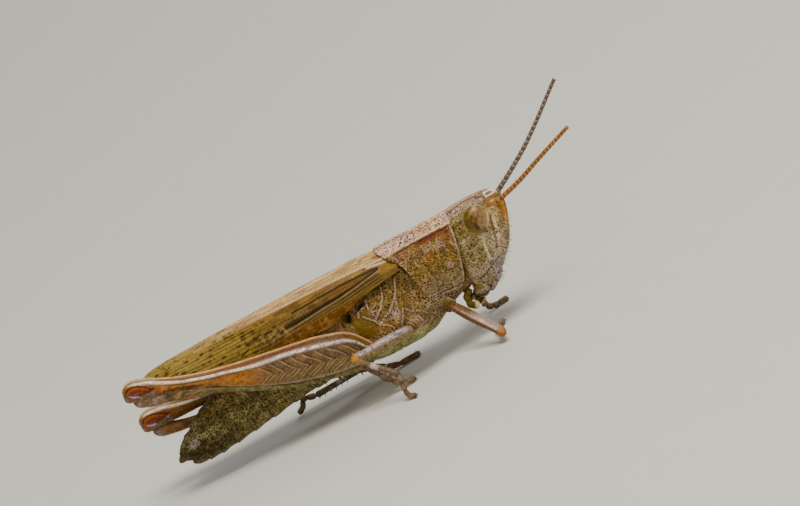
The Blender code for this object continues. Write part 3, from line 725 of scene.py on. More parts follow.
# %% Shape of the saddle plate
# height in front and behind, half width in front and behind, front edge and rear edge, from the lower rim up
PRONOTUM_LINES = np.array(
    [
        (3.38, 3.56, 1.36, 1.74, 6.16, 4.22),
        (3.56, 3.72, 1.43, 1.79, 6.32, 4.16),
        (4.16, 4.30, 1.58, 1.86, 6.55, 4.08),
        (5.19, 5.30, 1.56, 1.80, 6.84, 3.92),
        (5.85, 5.98, 1.27, 1.58, 6.98, 3.60),
        (6.38, 6.46, 0.94, 1.18, 7.04, 3.15),
        (6.70, 6.79, 0.46, 0.62, 7.04, 2.86),
        (6.80, 6.93, 0.00, 0.00, 7.02, 2.76),
    ]
)
KEEL_LINE = 5  # which of those lines is the shoulder keel
PRONOTUM_RINGS, PRONOTUM_ROUND = 130, 170
SHEET_MM = 0.1
SADDLE_MIDDLE = np.array([5, 0, 4.5])

stations = np.column_stack([np.arange(len(PRONOTUM_LINES)), PRONOTUM_LINES])
quarter = np.linspace(0, len(PRONOTUM_LINES) - 1, PRONOTUM_ROUND // 2)
z_front, z_rear, half_front, half_rear, x_front, x_rear = curve(stations, quarter).T[:, None]
share = np.linspace(0, 1, PRONOTUM_RINGS)[:, None]
z = z_rear + (z_front - z_rear) * share
waist = 0.20 * np.sin(math.pi * share) * band(quarter, KEEL_LINE, 0.9)[None]
y = half_rear + (half_front - half_rear) * share - waist
x = x_rear + (x_front - x_rear) * share
right_half = np.stack([x, -y, z], -1)
left_half = np.stack([x, y, z], -1)[:, ::-1]
outer = np.concatenate([right_half, left_half[:, 1:]], 1)
rank = np.concatenate([quarter, quarter[::-1][1:]])[None] + 0 * share
share = share + 0 * rank
tangent = np.gradient(outer, axis=1)
inward = np.cross(np.gradient(outer, axis=0), tangent)
inward /= np.linalg.norm(inward, axis=2, keepdims=True) + 1e-12
inward *= np.sign(np.sum(inward * (SADDLE_MIDDLE - outer)))
print("saddle grid", outer.shape[:2], "points")

# %% Relief of the saddle plate: keels, furrows and rims
shoulder = band(rank, KEEL_LINE, 0.11)
middle_keel = band(rank, len(PRONOTUM_LINES) - 1, 0.16)
x, z = outer[..., 0], outer[..., 2]
furrow_x = 5.02 - 0.12 * band(rank, 3.5, 1.2)
main_furrow = band(x, furrow_x, 0.05) * fade(rank, 1.6, 2.2)
first_furrow = band(x, 5.72 + 0.1 * (rank - 4), 0.045) * within(rank, 2.0, 4.6, 0.2)
second_furrow = band(x, 5.40, 0.04) * within(rank, 2.4, 4.2, 0.3)
front_rim = fade(share, 0.965, 0.985)
rear_rim = fall(share, 0.012, 0.03)
low_rim = fall(rank, 0.35, 0.6)
height = 0.055 * shoulder + 0.05 * middle_keel
height = height - 0.05 * main_furrow - 0.03 * first_furrow - 0.02 * second_furrow
height = height + 0.03 * (front_rim + low_rim) - 0.02 * rear_rim + 0.03 * (grain(outer, 0.3, 21) - 0.5)
top = outer - inward * height[..., None]
under = (outer + inward * (SHEET_MM - 0.07 * rear_rim)[..., None])[:, ::-1][:, ::3]
saddle = np.concatenate([top, under], 1)
told("saddle", height)

# %% Markings of the saddle plate
ahead, up = seen_beside(outer)
disc = fade(rank, KEEL_LINE + 0.04, KEEL_LINE + 0.16)
flank = fall(rank, KEEL_LINE - 0.16, KEEL_LINE - 0.05)
patch_low = 5.66 - 0.12 * fall(ahead, 6.4, 6.8) + 0.10 * fall(ahead, 4.2, 5.2)
patch = flank * fade(up, patch_low - 0.08, patch_low + 0.10) * within(ahead, 4.7, 6.9, 0.35)
patch_core = patch * fade(ahead, 4.7, 5.4)
wavy = blots(outer, 0.13, 23, 0.54, 0.66)
islands = dab(ahead, up, (5.25, 5.28), 0.16, (1, 1.3)) + dab(ahead, up, (5.93, 5.08), 0.2, (1.4, 1))
islands = islands + dab(ahead, up, (5.85, 3.95), 0.16)
rosy = dab(ahead, up, (4.15, 3.55), 0.3)
low_grey = fall(up, 3.3, 4.0)
front_line = [(6.84, 5.7), (6.8, 5.35), (6.72, 5.0), (6.55, 4.2)]
front_line += [(6.45, 3.7), (6.32, 3.3), (6.05, 3.1), (5.5, 3.05)]
front_line = stroke(ahead, up, front_line, 0.035)
low_line = stroke(ahead, up, [(4.0, 3.0), (4.5, 2.92), (5.1, 2.82), (5.8, 2.75)], 0.05)
rear_line = stroke(ahead, up, [(3.5, 5.8), (3.62, 5.3), (3.75, 4.8), (3.85, 4.3), (3.9, 3.6)], 0.045)
amber = dab(ahead, up, (5.05, 4.8), 0.3, (1, 0.9))
saddle_colour = paint(
    "#5B4518",
    (blots(outer, 0.7, 25, 0.4, 0.65) * 0.7, "#71571A"),
    (blots(outer, 0.35, 22, 0.52, 0.7) * 0.5, "#544218"),
    (wavy * 0.4, "#9C8452"),
    (squiggles(outer, 0.2, 28, 0.06) * 0.55, "#97804C"),
    (blots(outer, 0.085, 27, 0.6, 0.7) * 0.5, "#9C8248"),
    (within(up, 4.0, 4.7, 0.15) * 0.35, "#76681A"),
    (amber * 0.6, "#8F5A14"),
    (within(up, 5.0, 5.65, 0.1) * fade(ahead, 5.9, 6.2) * 0.5, "#7A4814"),
    (islands * 0.8, "#957A73"),
    (rosy * 0.5, "#98614A"),
    (low_grey * 0.55, "#757151"),
    (within(ahead, 3.4, 4.3, 0.1) * within(up, 5.4, 5.9, 0.1) * 0.6, "#6E4A24"),
    (patch * 0.85, "#7C3C00"),
    (patch_core * fade(up, 5.62, 5.8) * 0.85, "#501602"),
    (flank * band(rank, KEEL_LINE - 0.24, 0.08) * within(ahead, 3.6, 6.75, 0.2) * 0.8, "#2E1006"),
    (disc, "#AD8D6B"),
    (disc * wavy * 0.8, "#EDD3BA"),
    (disc * spots(outer, 0.2, 0.5, 26) * 0.75, "#6E5048"),
    (disc * fall(ahead, 4.8, 5.0) * 0.55, "#C6AC91"),
    (disc * fade(ahead, 4.95, 5.1) * 0.45, "#C59C62"),
    (main_furrow * 0.5, "#5A4A38"),
    (front_line * 0.7, "#A39478"),
    (low_line * 0.8, "#B3A096"),
    (rear_line * 0.7, "#8E826A"),
    (low_rim * 0.3, "#A08C78"),
    (fade(share, 0.955, 0.98) * (1 - 0.8 * flank), "#C9BCB8"),
    (shoulder * (0.8 + 0.2 * fade(ahead, 4.8, 5.0)), "#E6CF9C"),
    (band(rank, len(PRONOTUM_LINES) - 1, 0.2) * 0.85, "#D8BC96"),
    (band(rank, len(PRONOTUM_LINES) - 1.42, 0.10) * within(ahead, 2.8, 5.0, 0.1) * 0.6, "#5C4438"),
)
saddle_pits = np.clip(1 - 0.2 * flank - shoulder - front_rim - middle_keel * 0.8, 0, 1)
# painted light: the sheet's underside is painted lighter than its own colour, to lift the shade beneath the
# plate's edges
lining = np.broadcast_to(linear("#7A6240"), under.shape)
saddle_colour = np.concatenate([saddle_colour, lining], 1)
saddle_pits = np.concatenate([saddle_pits, np.zeros(under.shape[:2])], 1)
dress("saddle_plate", saddle, saddle_colour, saddle_pits, PITTED, "pronotum", "pronotum")

# %% [markdown]
# ## The trunk
# Behind the saddle the side of the trunk is made of slanting plates, with pale welts where they join, and
# the ear and a breathing hole show as dark spots. Each welt is drawn in the side view, and both the height
# and the colour of the surface follow it.

# %% Shape of the trunk
THORAX_ROWS = [
    (-0.45, 1.90, 3.40, 5.60, 1.60),
    (0.30, 1.62, 3.40, 5.90, 1.76),
    (1.20, 1.52, 3.40, 6.00, 1.90),
    (2.60, 1.52, 3.40, 6.00, 1.92),
    (3.60, 1.66, 3.40, 5.90, 1.86),
    (4.60, 2.12, 3.50, 5.50, 1.60),
    (5.60, 2.56, 3.60, 5.20, 1.28),
    (6.25, 2.72, 3.70, 4.90, 1.04),
    (6.75, 2.70, 3.60, 4.70, 0.86),
]
THORAX_RINGS, THORAX_ROUND = 156, 220
FULL_SIDE, FULL_TOP, FULL_LOW = 0.85, 0.9, 0.8  # below 1, a section is fuller than an ellipse


def trunk(rows, stops, around):
    """Rings along X from rows of (x, lowest z, z where widest, highest z, half width)."""
    turns = full_turn(around)[None]
    low, widest, high, half = columns(rows, stops)
    y = half * power(np.cos(turns), FULL_SIDE)
    above = widest + (high - widest) * power(np.sin(turns), FULL_TOP)
    below = widest + (widest - low) * power(np.sin(turns), FULL_LOW)
    z = np.where(np.sin(turns) >= 0, above, below)
    x = np.broadcast_to(np.asarray(stops)[:, None], y.shape)
    return np.stack([x, y, z], -1)


stops = np.linspace(THORAX_ROWS[0][0], THORAX_ROWS[-1][0], THORAX_RINGS)
body = trunk(THORAX_ROWS, stops, THORAX_ROUND)
print("trunk grid", body.shape[:2], "points, half width", body[..., 1].max().round(2), "mm")

# %% Relief of the trunk: welts, the ear and a breathing hole
# each welt as a line in the side view, and how strong it is
WELTS = [
    ([(0.58, 3.85), (0.78, 3.6), (1.02, 3.35), (1.08, 3.1), (1.5, 2.85), (1.68, 2.6), (1.72, 2.3)], 1.0),
    ([(1.08, 3.4), (1.6, 3.8), (2.0, 4.3), (2.15, 4.8)], 0.9),
    ([(1.15, 3.1), (1.9, 3.4), (2.4, 3.8), (2.72, 4.2), (3.0, 4.75)], 1.0),
    ([(2.05, 2.3), (2.3, 2.7), (2.6, 3.2), (2.95, 2.85), (3.4, 2.6), (3.6, 2.3)], 0.8),
    ([(0.35, 3.9), (0.5, 4.2), (0.88, 4.28)], 0.9),
    ([(1.02, 4.05), (1.14, 4.6)], 0.8),
    ([(3.05, 2.95), (3.25, 3.4), (3.5, 4.0), (3.6, 4.5)], 0.5),
    ([(2.55, 3.9), (2.35, 3.4), (2.3, 3.0)], 0.5),
    ([(-0.78, 4.35), (-0.66, 4.0)], 0.6),
]
x, y, z = body[..., 0], np.abs(body[..., 1]), body[..., 2]
ahead, up = seen_beside(body)
flank = fade(y, 0.8, 1.2)
welts = np.zeros(x.shape)
beside = np.zeros(x.shape)
for line, strength in WELTS:
    welts = np.maximum(welts, strength * stroke(ahead, up, line, 0.028))
    beside = np.maximum(beside, strength * stroke(ahead, up, line, 0.15))
welts, beside = welts * flank, (beside - welts).clip(0) * flank
ear = stroke(ahead, up, [(-0.2, 4.02), (-0.08, 4.25)], 0.14) * flank
hole = stroke(ahead, up, [(0.55, 4.32), (0.88, 4.45)], 0.09) * flank
belly = fall(z, 2.05, 2.45) * (1 - 0.5 * fade(x, 2.6, 3.6))
cross_belly = (band(x, 1.7, 0.05) + band(x, 3.2, 0.05)) * belly
height = 0.07 * welts - 0.04 * beside - 0.12 * ear - 0.06 * hole - 0.05 * cross_belly
shoulder_fold = within(x, 3.1, 4.5, 0.25) * within(z, 4.5, 5.6, 0.3)
fold_knob = 0.08 * within(x, 3.1, 3.7, 0.1) * within(z, 4.8, 5.7, 0.2)
height = height + 0.30 * shoulder_fold + fold_knob + 0.03 * (grain(body, 0.35, 31) - 0.5)
told("trunk", height)

# %% Markings of the trunk
smooth_plate = within(ahead, -0.1, 1.0, 0.1) * within(up, 2.7, 4.1, 0.15) * (1 - welts)
lilac = dab(ahead, up, (2.1, 3.15), 0.25) + dab(ahead, up, (1.15, 3.75), 0.16)
lilac = lilac + dab(ahead, up, (2.9, 2.25), 0.25)
ochre = within(ahead, 1.2, 2.0, 0.1) * within(up, 2.45, 3.0, 0.1)
wavy = blots(body, 0.2, 33, 0.55, 0.7)
body_colour = paint(
    "#6F5924",
    (blots(body, 0.5, 32, 0.35, 0.6) * 0.7, "#8B743A"),
    (wavy * 0.4, "#9C8A58"),
    (smooth_plate * 0.9, "#71590F"),
    (ochre * 0.6, "#7E5A1E"),
    (lilac * 0.8, "#A2938C"),
    (beside * 0.6, "#3E2C10"),
    (welts, "#CDB898"),
    # the belly's own olive green, painted lighter to stand in for light thrown up from below
    (belly * 0.9, "#8A9258"),
    (shoulder_fold * 0.8, "#4E3C10"),
    (fall(up, 2.7, 3.0) * fade(ahead, 3.1, 3.6) * (1 - belly) * 0.6, "#75694C"),
    (stroke(ahead, up, [(4.0, 2.95), (4.9, 2.8), (5.9, 2.7)], 0.035) * 0.9, "#B3A096"),
    (cross_belly * 0.5, "#4C4724"),
    (ear * 1.4, "#1E1006"),
    (hole * 1.4, "#221206"),
)
body_pits = np.clip((1 - smooth_plate * 0.9 - welts) * (1 - belly * 0.3), 0, 1)
body = raised(body, height)
dress("chest_plates", body, body_colour, body_pits, PITTED, "cuticle", "thorax", hair=belly * 0.25)

# %% [markdown]
# ## The abdomen
# Ten overlapping rings, each a little wider at its rear edge, like a stack of cups. The height rises towards
# each rear edge and drops at once past it, and a fold runs along each side between the back and belly
# plates.

# %% Shape and relief of the abdomen
ABDOMEN_ROWS = [
    (-11.42, 1.90, 2.02, 2.20, 0.16),
    (-11.05, 1.66, 2.12, 2.72, 0.52),
    (-10.40, 1.28, 2.20, 3.14, 0.82),
    (-9.70, 1.22, 2.36, 3.62, 1.02),
    (-9.00, 1.26, 2.52, 3.94, 1.16),
    (-8.00, 1.36, 2.70, 4.40, 1.30),
    (-6.00, 1.60, 3.00, 5.10, 1.50),
    (-4.00, 1.84, 3.20, 5.60, 1.62),
    (-2.00, 1.92, 3.30, 5.90, 1.66),
    (-0.45, 1.90, 3.35, 6.00, 1.64),
]
RING_EDGES = [-0.6, -1.9, -3.3, -4.7, -6.05, -7.3, -8.4, -9.35, -10.1, -10.75, -11.42]
ABDOMEN_RINGS, ABDOMEN_ROUND = 300, 170

stops = np.linspace(ABDOMEN_ROWS[0][0], ABDOMEN_ROWS[-1][0], ABDOMEN_RINGS)
tail = trunk(ABDOMEN_ROWS, stops, ABDOMEN_ROUND)
x, y, z = tail[..., 0], np.abs(tail[..., 1]), tail[..., 2]
fold_z = columns(ABDOMEN_ROWS, stops)[1] - 0.42
ring_share = np.zeros(x.shape)
lag = 0.10 * fade(z, 2.6, 3.6)
for start, end in zip(RING_EDGES, RING_EDGES[1:]):
    inside = (x + lag <= start) & (x + lag > end)
    ring_share = np.where(inside, (start - x - lag) / (start - end), ring_share)
lip = fade(ring_share, 0.3, 0.93) * fall(ring_share, 0.955, 1.0)
side_fold = band(z, fold_z, 0.07) * fade(y, 0.4, 0.8)
height = 0.055 * lip - 0.03 - 0.06 * side_fold + 0.03 * (grain(tail, 0.4, 41) - 0.5)
told(f"{len(RING_EDGES) - 1} rings", height)

# %% Markings of the abdomen
# painted light: the front rings, in the shade of the wings' lower edge, are painted a lighter brown with
# fewer dark specks and pits, to lift that shade
shade_lift_by_thorax = fade(x, -3.2, -2.2)
rear = fade(-x, 6.5, 9.5)
pale_blot = blots(tail * (1, 1, 1.4), 0.55, 42, 0.55, 0.8)
specks = spots(tail * (1.2, 1, 0.7), 0.18, 0.5, 43) * (1 - 0.8 * shade_lift_by_thorax)
smear = blots(tail * (0.7, 1, 1), 0.3, 44, 0.6, 0.75) * (1 - 0.8 * shade_lift_by_thorax)
tail_colour = paint(
    "#443A12",
    (grain(tail, 0.8, 45) * 0.7, "#4E471A"),
    (fade(z, 3.2, 4.6) * 0.4, "#816108"),
    # painted shade: the lower flank is painted darker, most of all towards the rear, for the shade under the
    # body
    (fall(z, 1.8, 3.0) * (0.2 + 0.7 * rear), "#262208"),
    ((1 - rear) * fall(z, 2.9, 3.4) * 0.4, "#7E7840"),
    (shade_lift_by_thorax * 0.8, "#AA8650"),
    (pale_blot * 0.4 * rear * fade(z, 2.0, 2.6), "#878456"),
    (dab(x, z, (-10.3, 2.75), 0.35) * 0.4, "#8C886A"),
    (specks * 0.85, "#1A1306"),
    (smear * 0.3, "#2C250C"),
    (squiggles(tail * (1, 1, 0.7), 0.24, 46, 0.07) * (0.6 - 0.3 * rear), "#7C784C"),
    (band(ring_share, 0.97, 0.05) * 0.6, "#2A2210"),
    (side_fold * 0.5, "#2C2611"),
    (fall(z, 1.4, 1.8) * 0.4, "#6B6440"),
    (fade(-x, 10.7, 11.1) * fall(z, 1.8, 2.1) * 0.7, "#4A3526"),
)
tail_pits = 0.8 + 0.2 * rear - 0.5 * shade_lift_by_thorax
tail = raised(tail, height)
dress("abdomen_rings", tail, tail_colour, tail_pits, SPECKLED, "abdomen", "abdomen", "abdomen_tip", hair=0.06)

# %% [markdown]
# ## Small round parts
# Hips, jaws, lips and tail parts are short tapered forms along a bent line. One function makes such a form:
# half depths and half widths at shares of its length.

# %% Tapered forms along a line
def line_frame(path, shares, up):
    """Places along a bent line, with the directions ahead, aside and up at each."""
    path = np.array(path, float)
    lengths = np.concatenate([[0], np.cumsum(np.linalg.norm(np.diff(path, axis=0), axis=1))])
    if len(path) == 2:
        places = path[0] + np.outer(shares, path[1] - path[0])
    else:
        places = curve(np.column_stack([lengths / lengths[-1], path]), np.clip(shares, 0, 1))
        over = np.clip(shares, 0, 1) - shares
        last = path[-1] - path[-2]
        places = places - np.outer(over * lengths[-1], last / np.linalg.norm(last))
    way = np.gradient(places, axis=0)
    way /= np.linalg.norm(way, axis=1, keepdims=True)
    aside = np.cross(np.broadcast_to(np.array(up, float), way.shape), way)
    aside /= np.linalg.norm(aside, axis=1, keepdims=True)
    return places, way, aside, np.cross(way, aside)


def tapered(path, rows, rings, around, up=(0, 0, 1)):
    """Rings round a line from rows of (share, half depth, half width); also each point's share and turn."""
    shares = np.linspace(rows[0][0], rows[-1][0], rings)
    places, _, aside, rise = line_frame(path, shares, up)
    depth, width = curve(rows, shares).T
    turns = full_turn(around)
    grid = places[:, None] + (np.cos(turns) * width[:, None])[..., None] * aside[:, None]
    grid = grid + (np.sin(turns) * depth[:, None])[..., None] * rise[:, None]
    return grid, shares[:, None] + 0 * turns, turns + 0 * shares[:, None]


print(
    "a straight rod has", tapered(((0, 0, 0), (1, 0, 0)), [(0, 1, 1), (1, 1, 1)], 5, 8)[0].shape[:2], "points"
)

# %% Hips
# middle and radii of each hip lump, and the tint blended over it in soft lumps; the hind hip's light belly
# olive is partly painted light that lifts the shade it lies in
COXAE = {"fore": (4.90, 1.22, 2.66), "mid": (2.98, 1.62, 2.64), "hind": (0.85, 1.80, 2.50)}
COXA_RADII = {"fore": (0.42, 0.36, 0.48), "mid": (0.68, 0.44, 0.62), "hind": (0.60, 0.46, 0.50)}
HIP_TINTS = {"fore": "#564410", "mid": "#6E5E40", "hind": "#8A8450"}
LUMP_RINGS, LUMP_ROUND = 40, 56
LUMP_POLE = 0.03  # how far from the very pole the first ring lies, in radians
LUMP_INSIDE = 0.98  # a lump lies a little inside its solid
# pale welts on the hips, as seen beside the animal
HIP_WELTS = [
    [(2.6, 3.2), (2.95, 2.9), (3.4, 2.65), (3.6, 2.3), (3.42, 2.05), (2.9, 1.95)],
    [(2.2, 2.75), (2.5, 2.5), (2.95, 2.35)],
    [(2.7, 2.75), (3.1, 2.45), (3.2, 2.1)],
    [(4.55, 2.65), (4.9, 2.5), (5.15, 2.15)],
    [(0.6, 2.4), (1.0, 2.15), (1.3, 1.9)],
]


def lump(centre, radii):
    """An egg-shaped lump with its poles out to the sides."""
    radii = np.array(radii) * LUMP_INSIDE
    polar = np.linspace(LUMP_POLE, math.pi - LUMP_POLE, LUMP_RINGS)[:, None]
    turns = full_turn(LUMP_ROUND)[None]
    x = radii[0] * np.sin(polar) * np.cos(turns)
    z = radii[2] * np.sin(polar) * np.sin(turns)
    y = radii[1] * np.cos(polar) + 0 * turns
    return np.stack([x, y, z], -1) + np.array(centre)


for place, middle in COXAE.items():
    for side_name, side in SIDES:
        hip = lump(on_side(middle, side), COXA_RADII[place])
        ahead, up = seen_beside(hip)
        welts = sum(stroke(ahead, up, line, 0.035) for line in HIP_WELTS)
        knuckle = np.hypot(ahead - 2.3, up - 2.1)
        fan = fade(ahead, 2.2, 2.4) * fade(up, 2.1, 2.25) * fall(knuckle, 0.75, 0.85)
        welts = welts + fan * sum(band(knuckle, reach, 0.028) for reach in (0.36, 0.53, 0.70))
        hip_colour = paint(
            "#5E4C22",
            (grain(hip, 0.3, 51) * 0.7, HIP_TINTS[place]),
            (fan * 0.7, "#735225"),
            # the lower part of the mid and hind hips takes the belly's olive, painted lighter than it to lift
            # the shade beneath them
            (fall(up, 1.75, 2.0) * (place != "fore"), "#9B9A64"),
            (welts * 0.8, "#A8957C"),
        )
        hip, hip_pits = raised(hip, 0.03 * welts), 0.5 * (1 - welts)
        node = f"{place}_coxa_{side_name}"
        dress(f"{place}_hip_{side_name}", hip, hip_colour, hip_pits, PITTED, "cuticle", node)

# %% [markdown]
# ## Jaws, lips and tail parts
# The upper lip is a flap under the face, with a black-edged jaw each side behind it. The palps are jointed
# feelers that handle food, each joint a little bead. At the tail stand two short pegs, and the hooked blades
# that dig the hole for the eggs.

# %% Upper lip
LIP_ROWS = [(0, 0.25, 0.55), (0.3, 0.30, 0.72), (0.7, 0.28, 0.66), (0.95, 0.2, 0.4), (1.0, 0.1, 0.2)]
lip, along, _ = tapered(((8.02, 0, 2.78), (7.02, 0, 1.98)), LIP_ROWS, 60, 90)
lip_seam = band(along, 0.42, 0.03)
lip_colour = paint(
    "#8C8068",
    (grain(lip, 0.3, 61) * 0.7, "#A09680"),
    (lip_seam, "#4A3A28"),
    (fade(along, 0.8, 1.0) * 0.6, "#6A5A3C"),
    (band(along, 0.2, 0.08) * 0.5, "#A39C90"),
)
dress("upper_lip", raised(lip, -0.03 * lip_seam), lip_colour, 0.8, PITTED, "mouth", "labrum", hair=0.8)

# %% Jaws and palps
JAW, JAW_RADII = (6.78, 0.72, 2.42), (0.42, 0.34, 0.50)
PALP_ROWS = [(0, 0.17, 0.17), (0.7, 0.2, 0.2), (0.93, 0.22, 0.22), (1.0, 0.1, 0.1)]
# the bent line of each palp on the left side, and how many joints it has
PALPS = {
    "maxillary": (((6.20, 0.62, 2.62), (5.86, 0.92, 2.44), (5.86, 0.96, 2.02), (6.28, 0.90, 1.72)), 4),
    "labial": (((6.42, 0.30, 2.30), (6.32, 0.32, 2.02), (6.52, 0.30, 1.62)), 3),
}


def beads(along, count):
    """1 in the middle of each joint and 0 where two joints meet."""
    return np.sqrt(np.abs(np.sin(math.pi * along * count)))


for side_name, side in SIDES:
    jaw = lump(on_side(JAW, side), JAW_RADII)
    ahead, up = seen_beside(jaw)
    edge = stroke(ahead, up, [(6.35, 1.80), (6.7, 1.70), (7.05, 1.78)], 0.05) + fall(jaw[..., 2], 1.95, 2.02)
    base = within(ahead, 6.32, 6.78, 0.05) * within(up, 2.05, 2.75, 0.08)
    jaw_colour = paint(
        "#86785C", (grain(jaw, 0.3, 62) * 0.5, "#9A8C74"), (base * 0.9, "#6A5A12"), (edge, "#120C08")
    )
    jaw_pits = (1 - base) * (1 - edge.clip(0, 1))
    dress(f"jaw_{side_name}", jaw, jaw_colour, jaw_pits, PITTED, "mouth", f"mandible_{side_name}")
    for kind, (path, joints) in PALPS.items():
        palp, along, _ = tapered(on_side(path, side), PALP_ROWS, 70, 32, up=(0, 1, 0))
        bead = beads(along, joints)
        palp_colour = paint(
            "#65560C",
            (grain(palp, 0.25, 63) * 0.5, "#7A6A20"),
            (1 - bead, "#4A3A10"),
            (fade(along, 0.80, 0.88), "#CDBF98"),
        )
        palp, node = raised(palp, 0.05 * (bead - 1)), f"{kind}_palp_{side_name}"
        dress(f"{kind}_feeler_{side_name}", palp, palp_colour, 0.15, SMOOTH, "mouth", node, hair=0.3)

# %% Tail pegs and egg-laying blades
BLADE_ROWS = [(0, 0.22, 0.38), (0.5, 0.23, 0.33), (0.85, 0.15, 0.22), (1.0, 0.05, 0.08)]
PEG_LINE = ((-10.05, 0.90, 2.62), (-10.75, 0.86, 2.44))
PEG_ROWS = [(0, 0.22, 0.2), (0.5, 0.22, 0.2), (1.0, 0.06, 0.06)]
for name, node, start, end in (
    ("blade_above", "ovipositor_upper", (-10.95, 0, 2.12), (-11.62, 0, 1.84)),
    ("blade_below", "ovipositor_lower", (-10.20, 0, 1.45), (-11.00, 0, 1.52)),
):
    blade, along, _ = tapered((start, end), BLADE_ROWS, 50, 60)
    cleft = band(np.abs(blade[..., 1]), 0, 0.05)
    blade_colour = paint(
        "#5A4226",
        (grain(blade, 0.2, 64) * 0.6, "#70553A"),
        (cleft, "#22160A"),
        (fade(along, 0.75, 0.95), "#2E1C0E"),
    )
    dress(name, raised(blade, -0.07 * cleft), blade_colour, 0.4, SMOOTH, "abdomen", node, hair=0.3)
for side_name, side in SIDES:
    peg, along, _ = tapered(on_side(PEG_LINE, side), PEG_ROWS, 40, 36)
    peg_colour = paint(
        "#6B6050", (grain(peg, 0.2, 65) * 0.6, "#857C70"), (fade(along, 0.7, 1.0) * 0.6, "#4A3A24")
    )
    node = f"cercus_{side_name}"
    dress(f"tail_peg_{side_name}", peg, peg_colour, 0.4, SPECKLED, "abdomen", node, hair=0.8)

# %% [markdown]
# ## The fore wings
# The fore wings are leathery covers that lie roof-like over the back. A pale strip lies flat along the
# spine, and past a fold the rest hangs down the flank. Long veins fan back from the root, small veins cross
# between them, and single cells are stained dark. Veins are lines of constant share across the wing, so the
# fan comes by itself.

# %% Shape of a fore wing
# x, height of the spine strip, and width and height of the fold and of the lower edge
WING_ROWS = [
    (-11.0, 6.74, 0.10, 6.68, 0.14, 6.50),
    (-10.85, 6.82, 0.36, 6.68, 0.46, 6.18),
    (-10.4, 6.92, 0.58, 6.70, 0.86, 5.75),
    (-9.0, 6.98, 0.82, 6.72, 1.24, 5.30),
    (-7.0, 6.98, 1.00, 6.70, 1.48, 5.00),
    (-4.0, 6.97, 1.14, 6.68, 1.68, 4.76),
    (-1.0, 6.95, 1.22, 6.64, 1.78, 4.72),
    (0.3, 6.95, 1.23, 6.58, 1.84, 5.06),
    (1.5, 6.94, 1.24, 6.50, 1.88, 5.36),
    (2.6, 6.84, 1.18, 6.38, 1.82, 5.52),
    (3.6, 6.68, 1.10, 6.22, 1.70, 5.60),
]
WING_RINGS, WING_OUTER, WING_INNER = 380, 84, 22
WING_SHEET = 0.13  # mm thick


def wing_grid(side):
    stops = np.linspace(WING_ROWS[0][0], WING_ROWS[-1][0], WING_RINGS)
    rings = []
    for x, (top, fold_y, fold_z, low_y, low_z) in zip(stops, curve(WING_ROWS, stops)):
        section = [
            (0.00, 0.02, top),
            (0.22, fold_y * 0.55, top * 0.45 + fold_z * 0.55 + 0.02),
            (0.38, fold_y, fold_z),
            (0.44, fold_y + 0.06, fold_z - 0.14),
            (0.70, fold_y * 0.45 + low_y * 0.55 + 0.1, fold_z * 0.5 + low_z * 0.5),
            (1.00, low_y, low_z),
        ]
        outer = curve(section, np.linspace(0, 1, WING_OUTER))
        centre = np.array([0.0, low_z - 0.4])
        inner = outer[::-1][:: WING_OUTER // WING_INNER]
        away = inner - centre
        inner = centre + away * (1 - WING_SHEET / np.linalg.norm(away, axis=1, keepdims=True))
        ring = np.concatenate([outer, inner])
        rings.append(np.column_stack([np.full(len(ring), x), side * ring[:, 0], ring[:, 1]]))
    return np.array(rings)


print("wing grid", wing_grid(1).shape[:2], "points")

# %% Veins and markings of a fore wing
WING_REAR, WING_FRONT = WING_ROWS[0][0], WING_ROWS[-1][0]
VEINS = 17  # long veins from the spine to the lower edge
DASH_MM = 0.30  # length of a stained cell
LADDER_MM = 0.135  # from one dark bar of the ladder to the next
FOLD_LINE = [(3.2, 5.95), (2.5, 6.02), (1.5, 6.12), (0.0, 6.24)]
FOLD_LINE += [(-1.5, 6.33), (-3.0, 6.42), (-5.0, 6.52), (-8.0, 6.62)]
UPPER_EDGE = [(2.5, 5.70), (1.5, 5.78), (0.3, 5.86), (-1.0, 5.87), (-2.5, 5.86)]
LOWER_EDGE = [(2.45, 5.62), (1.0, 5.44), (0.0, 5.39), (-1.0, 5.36), (-2.0, 5.33), (-3.2, 5.33)]


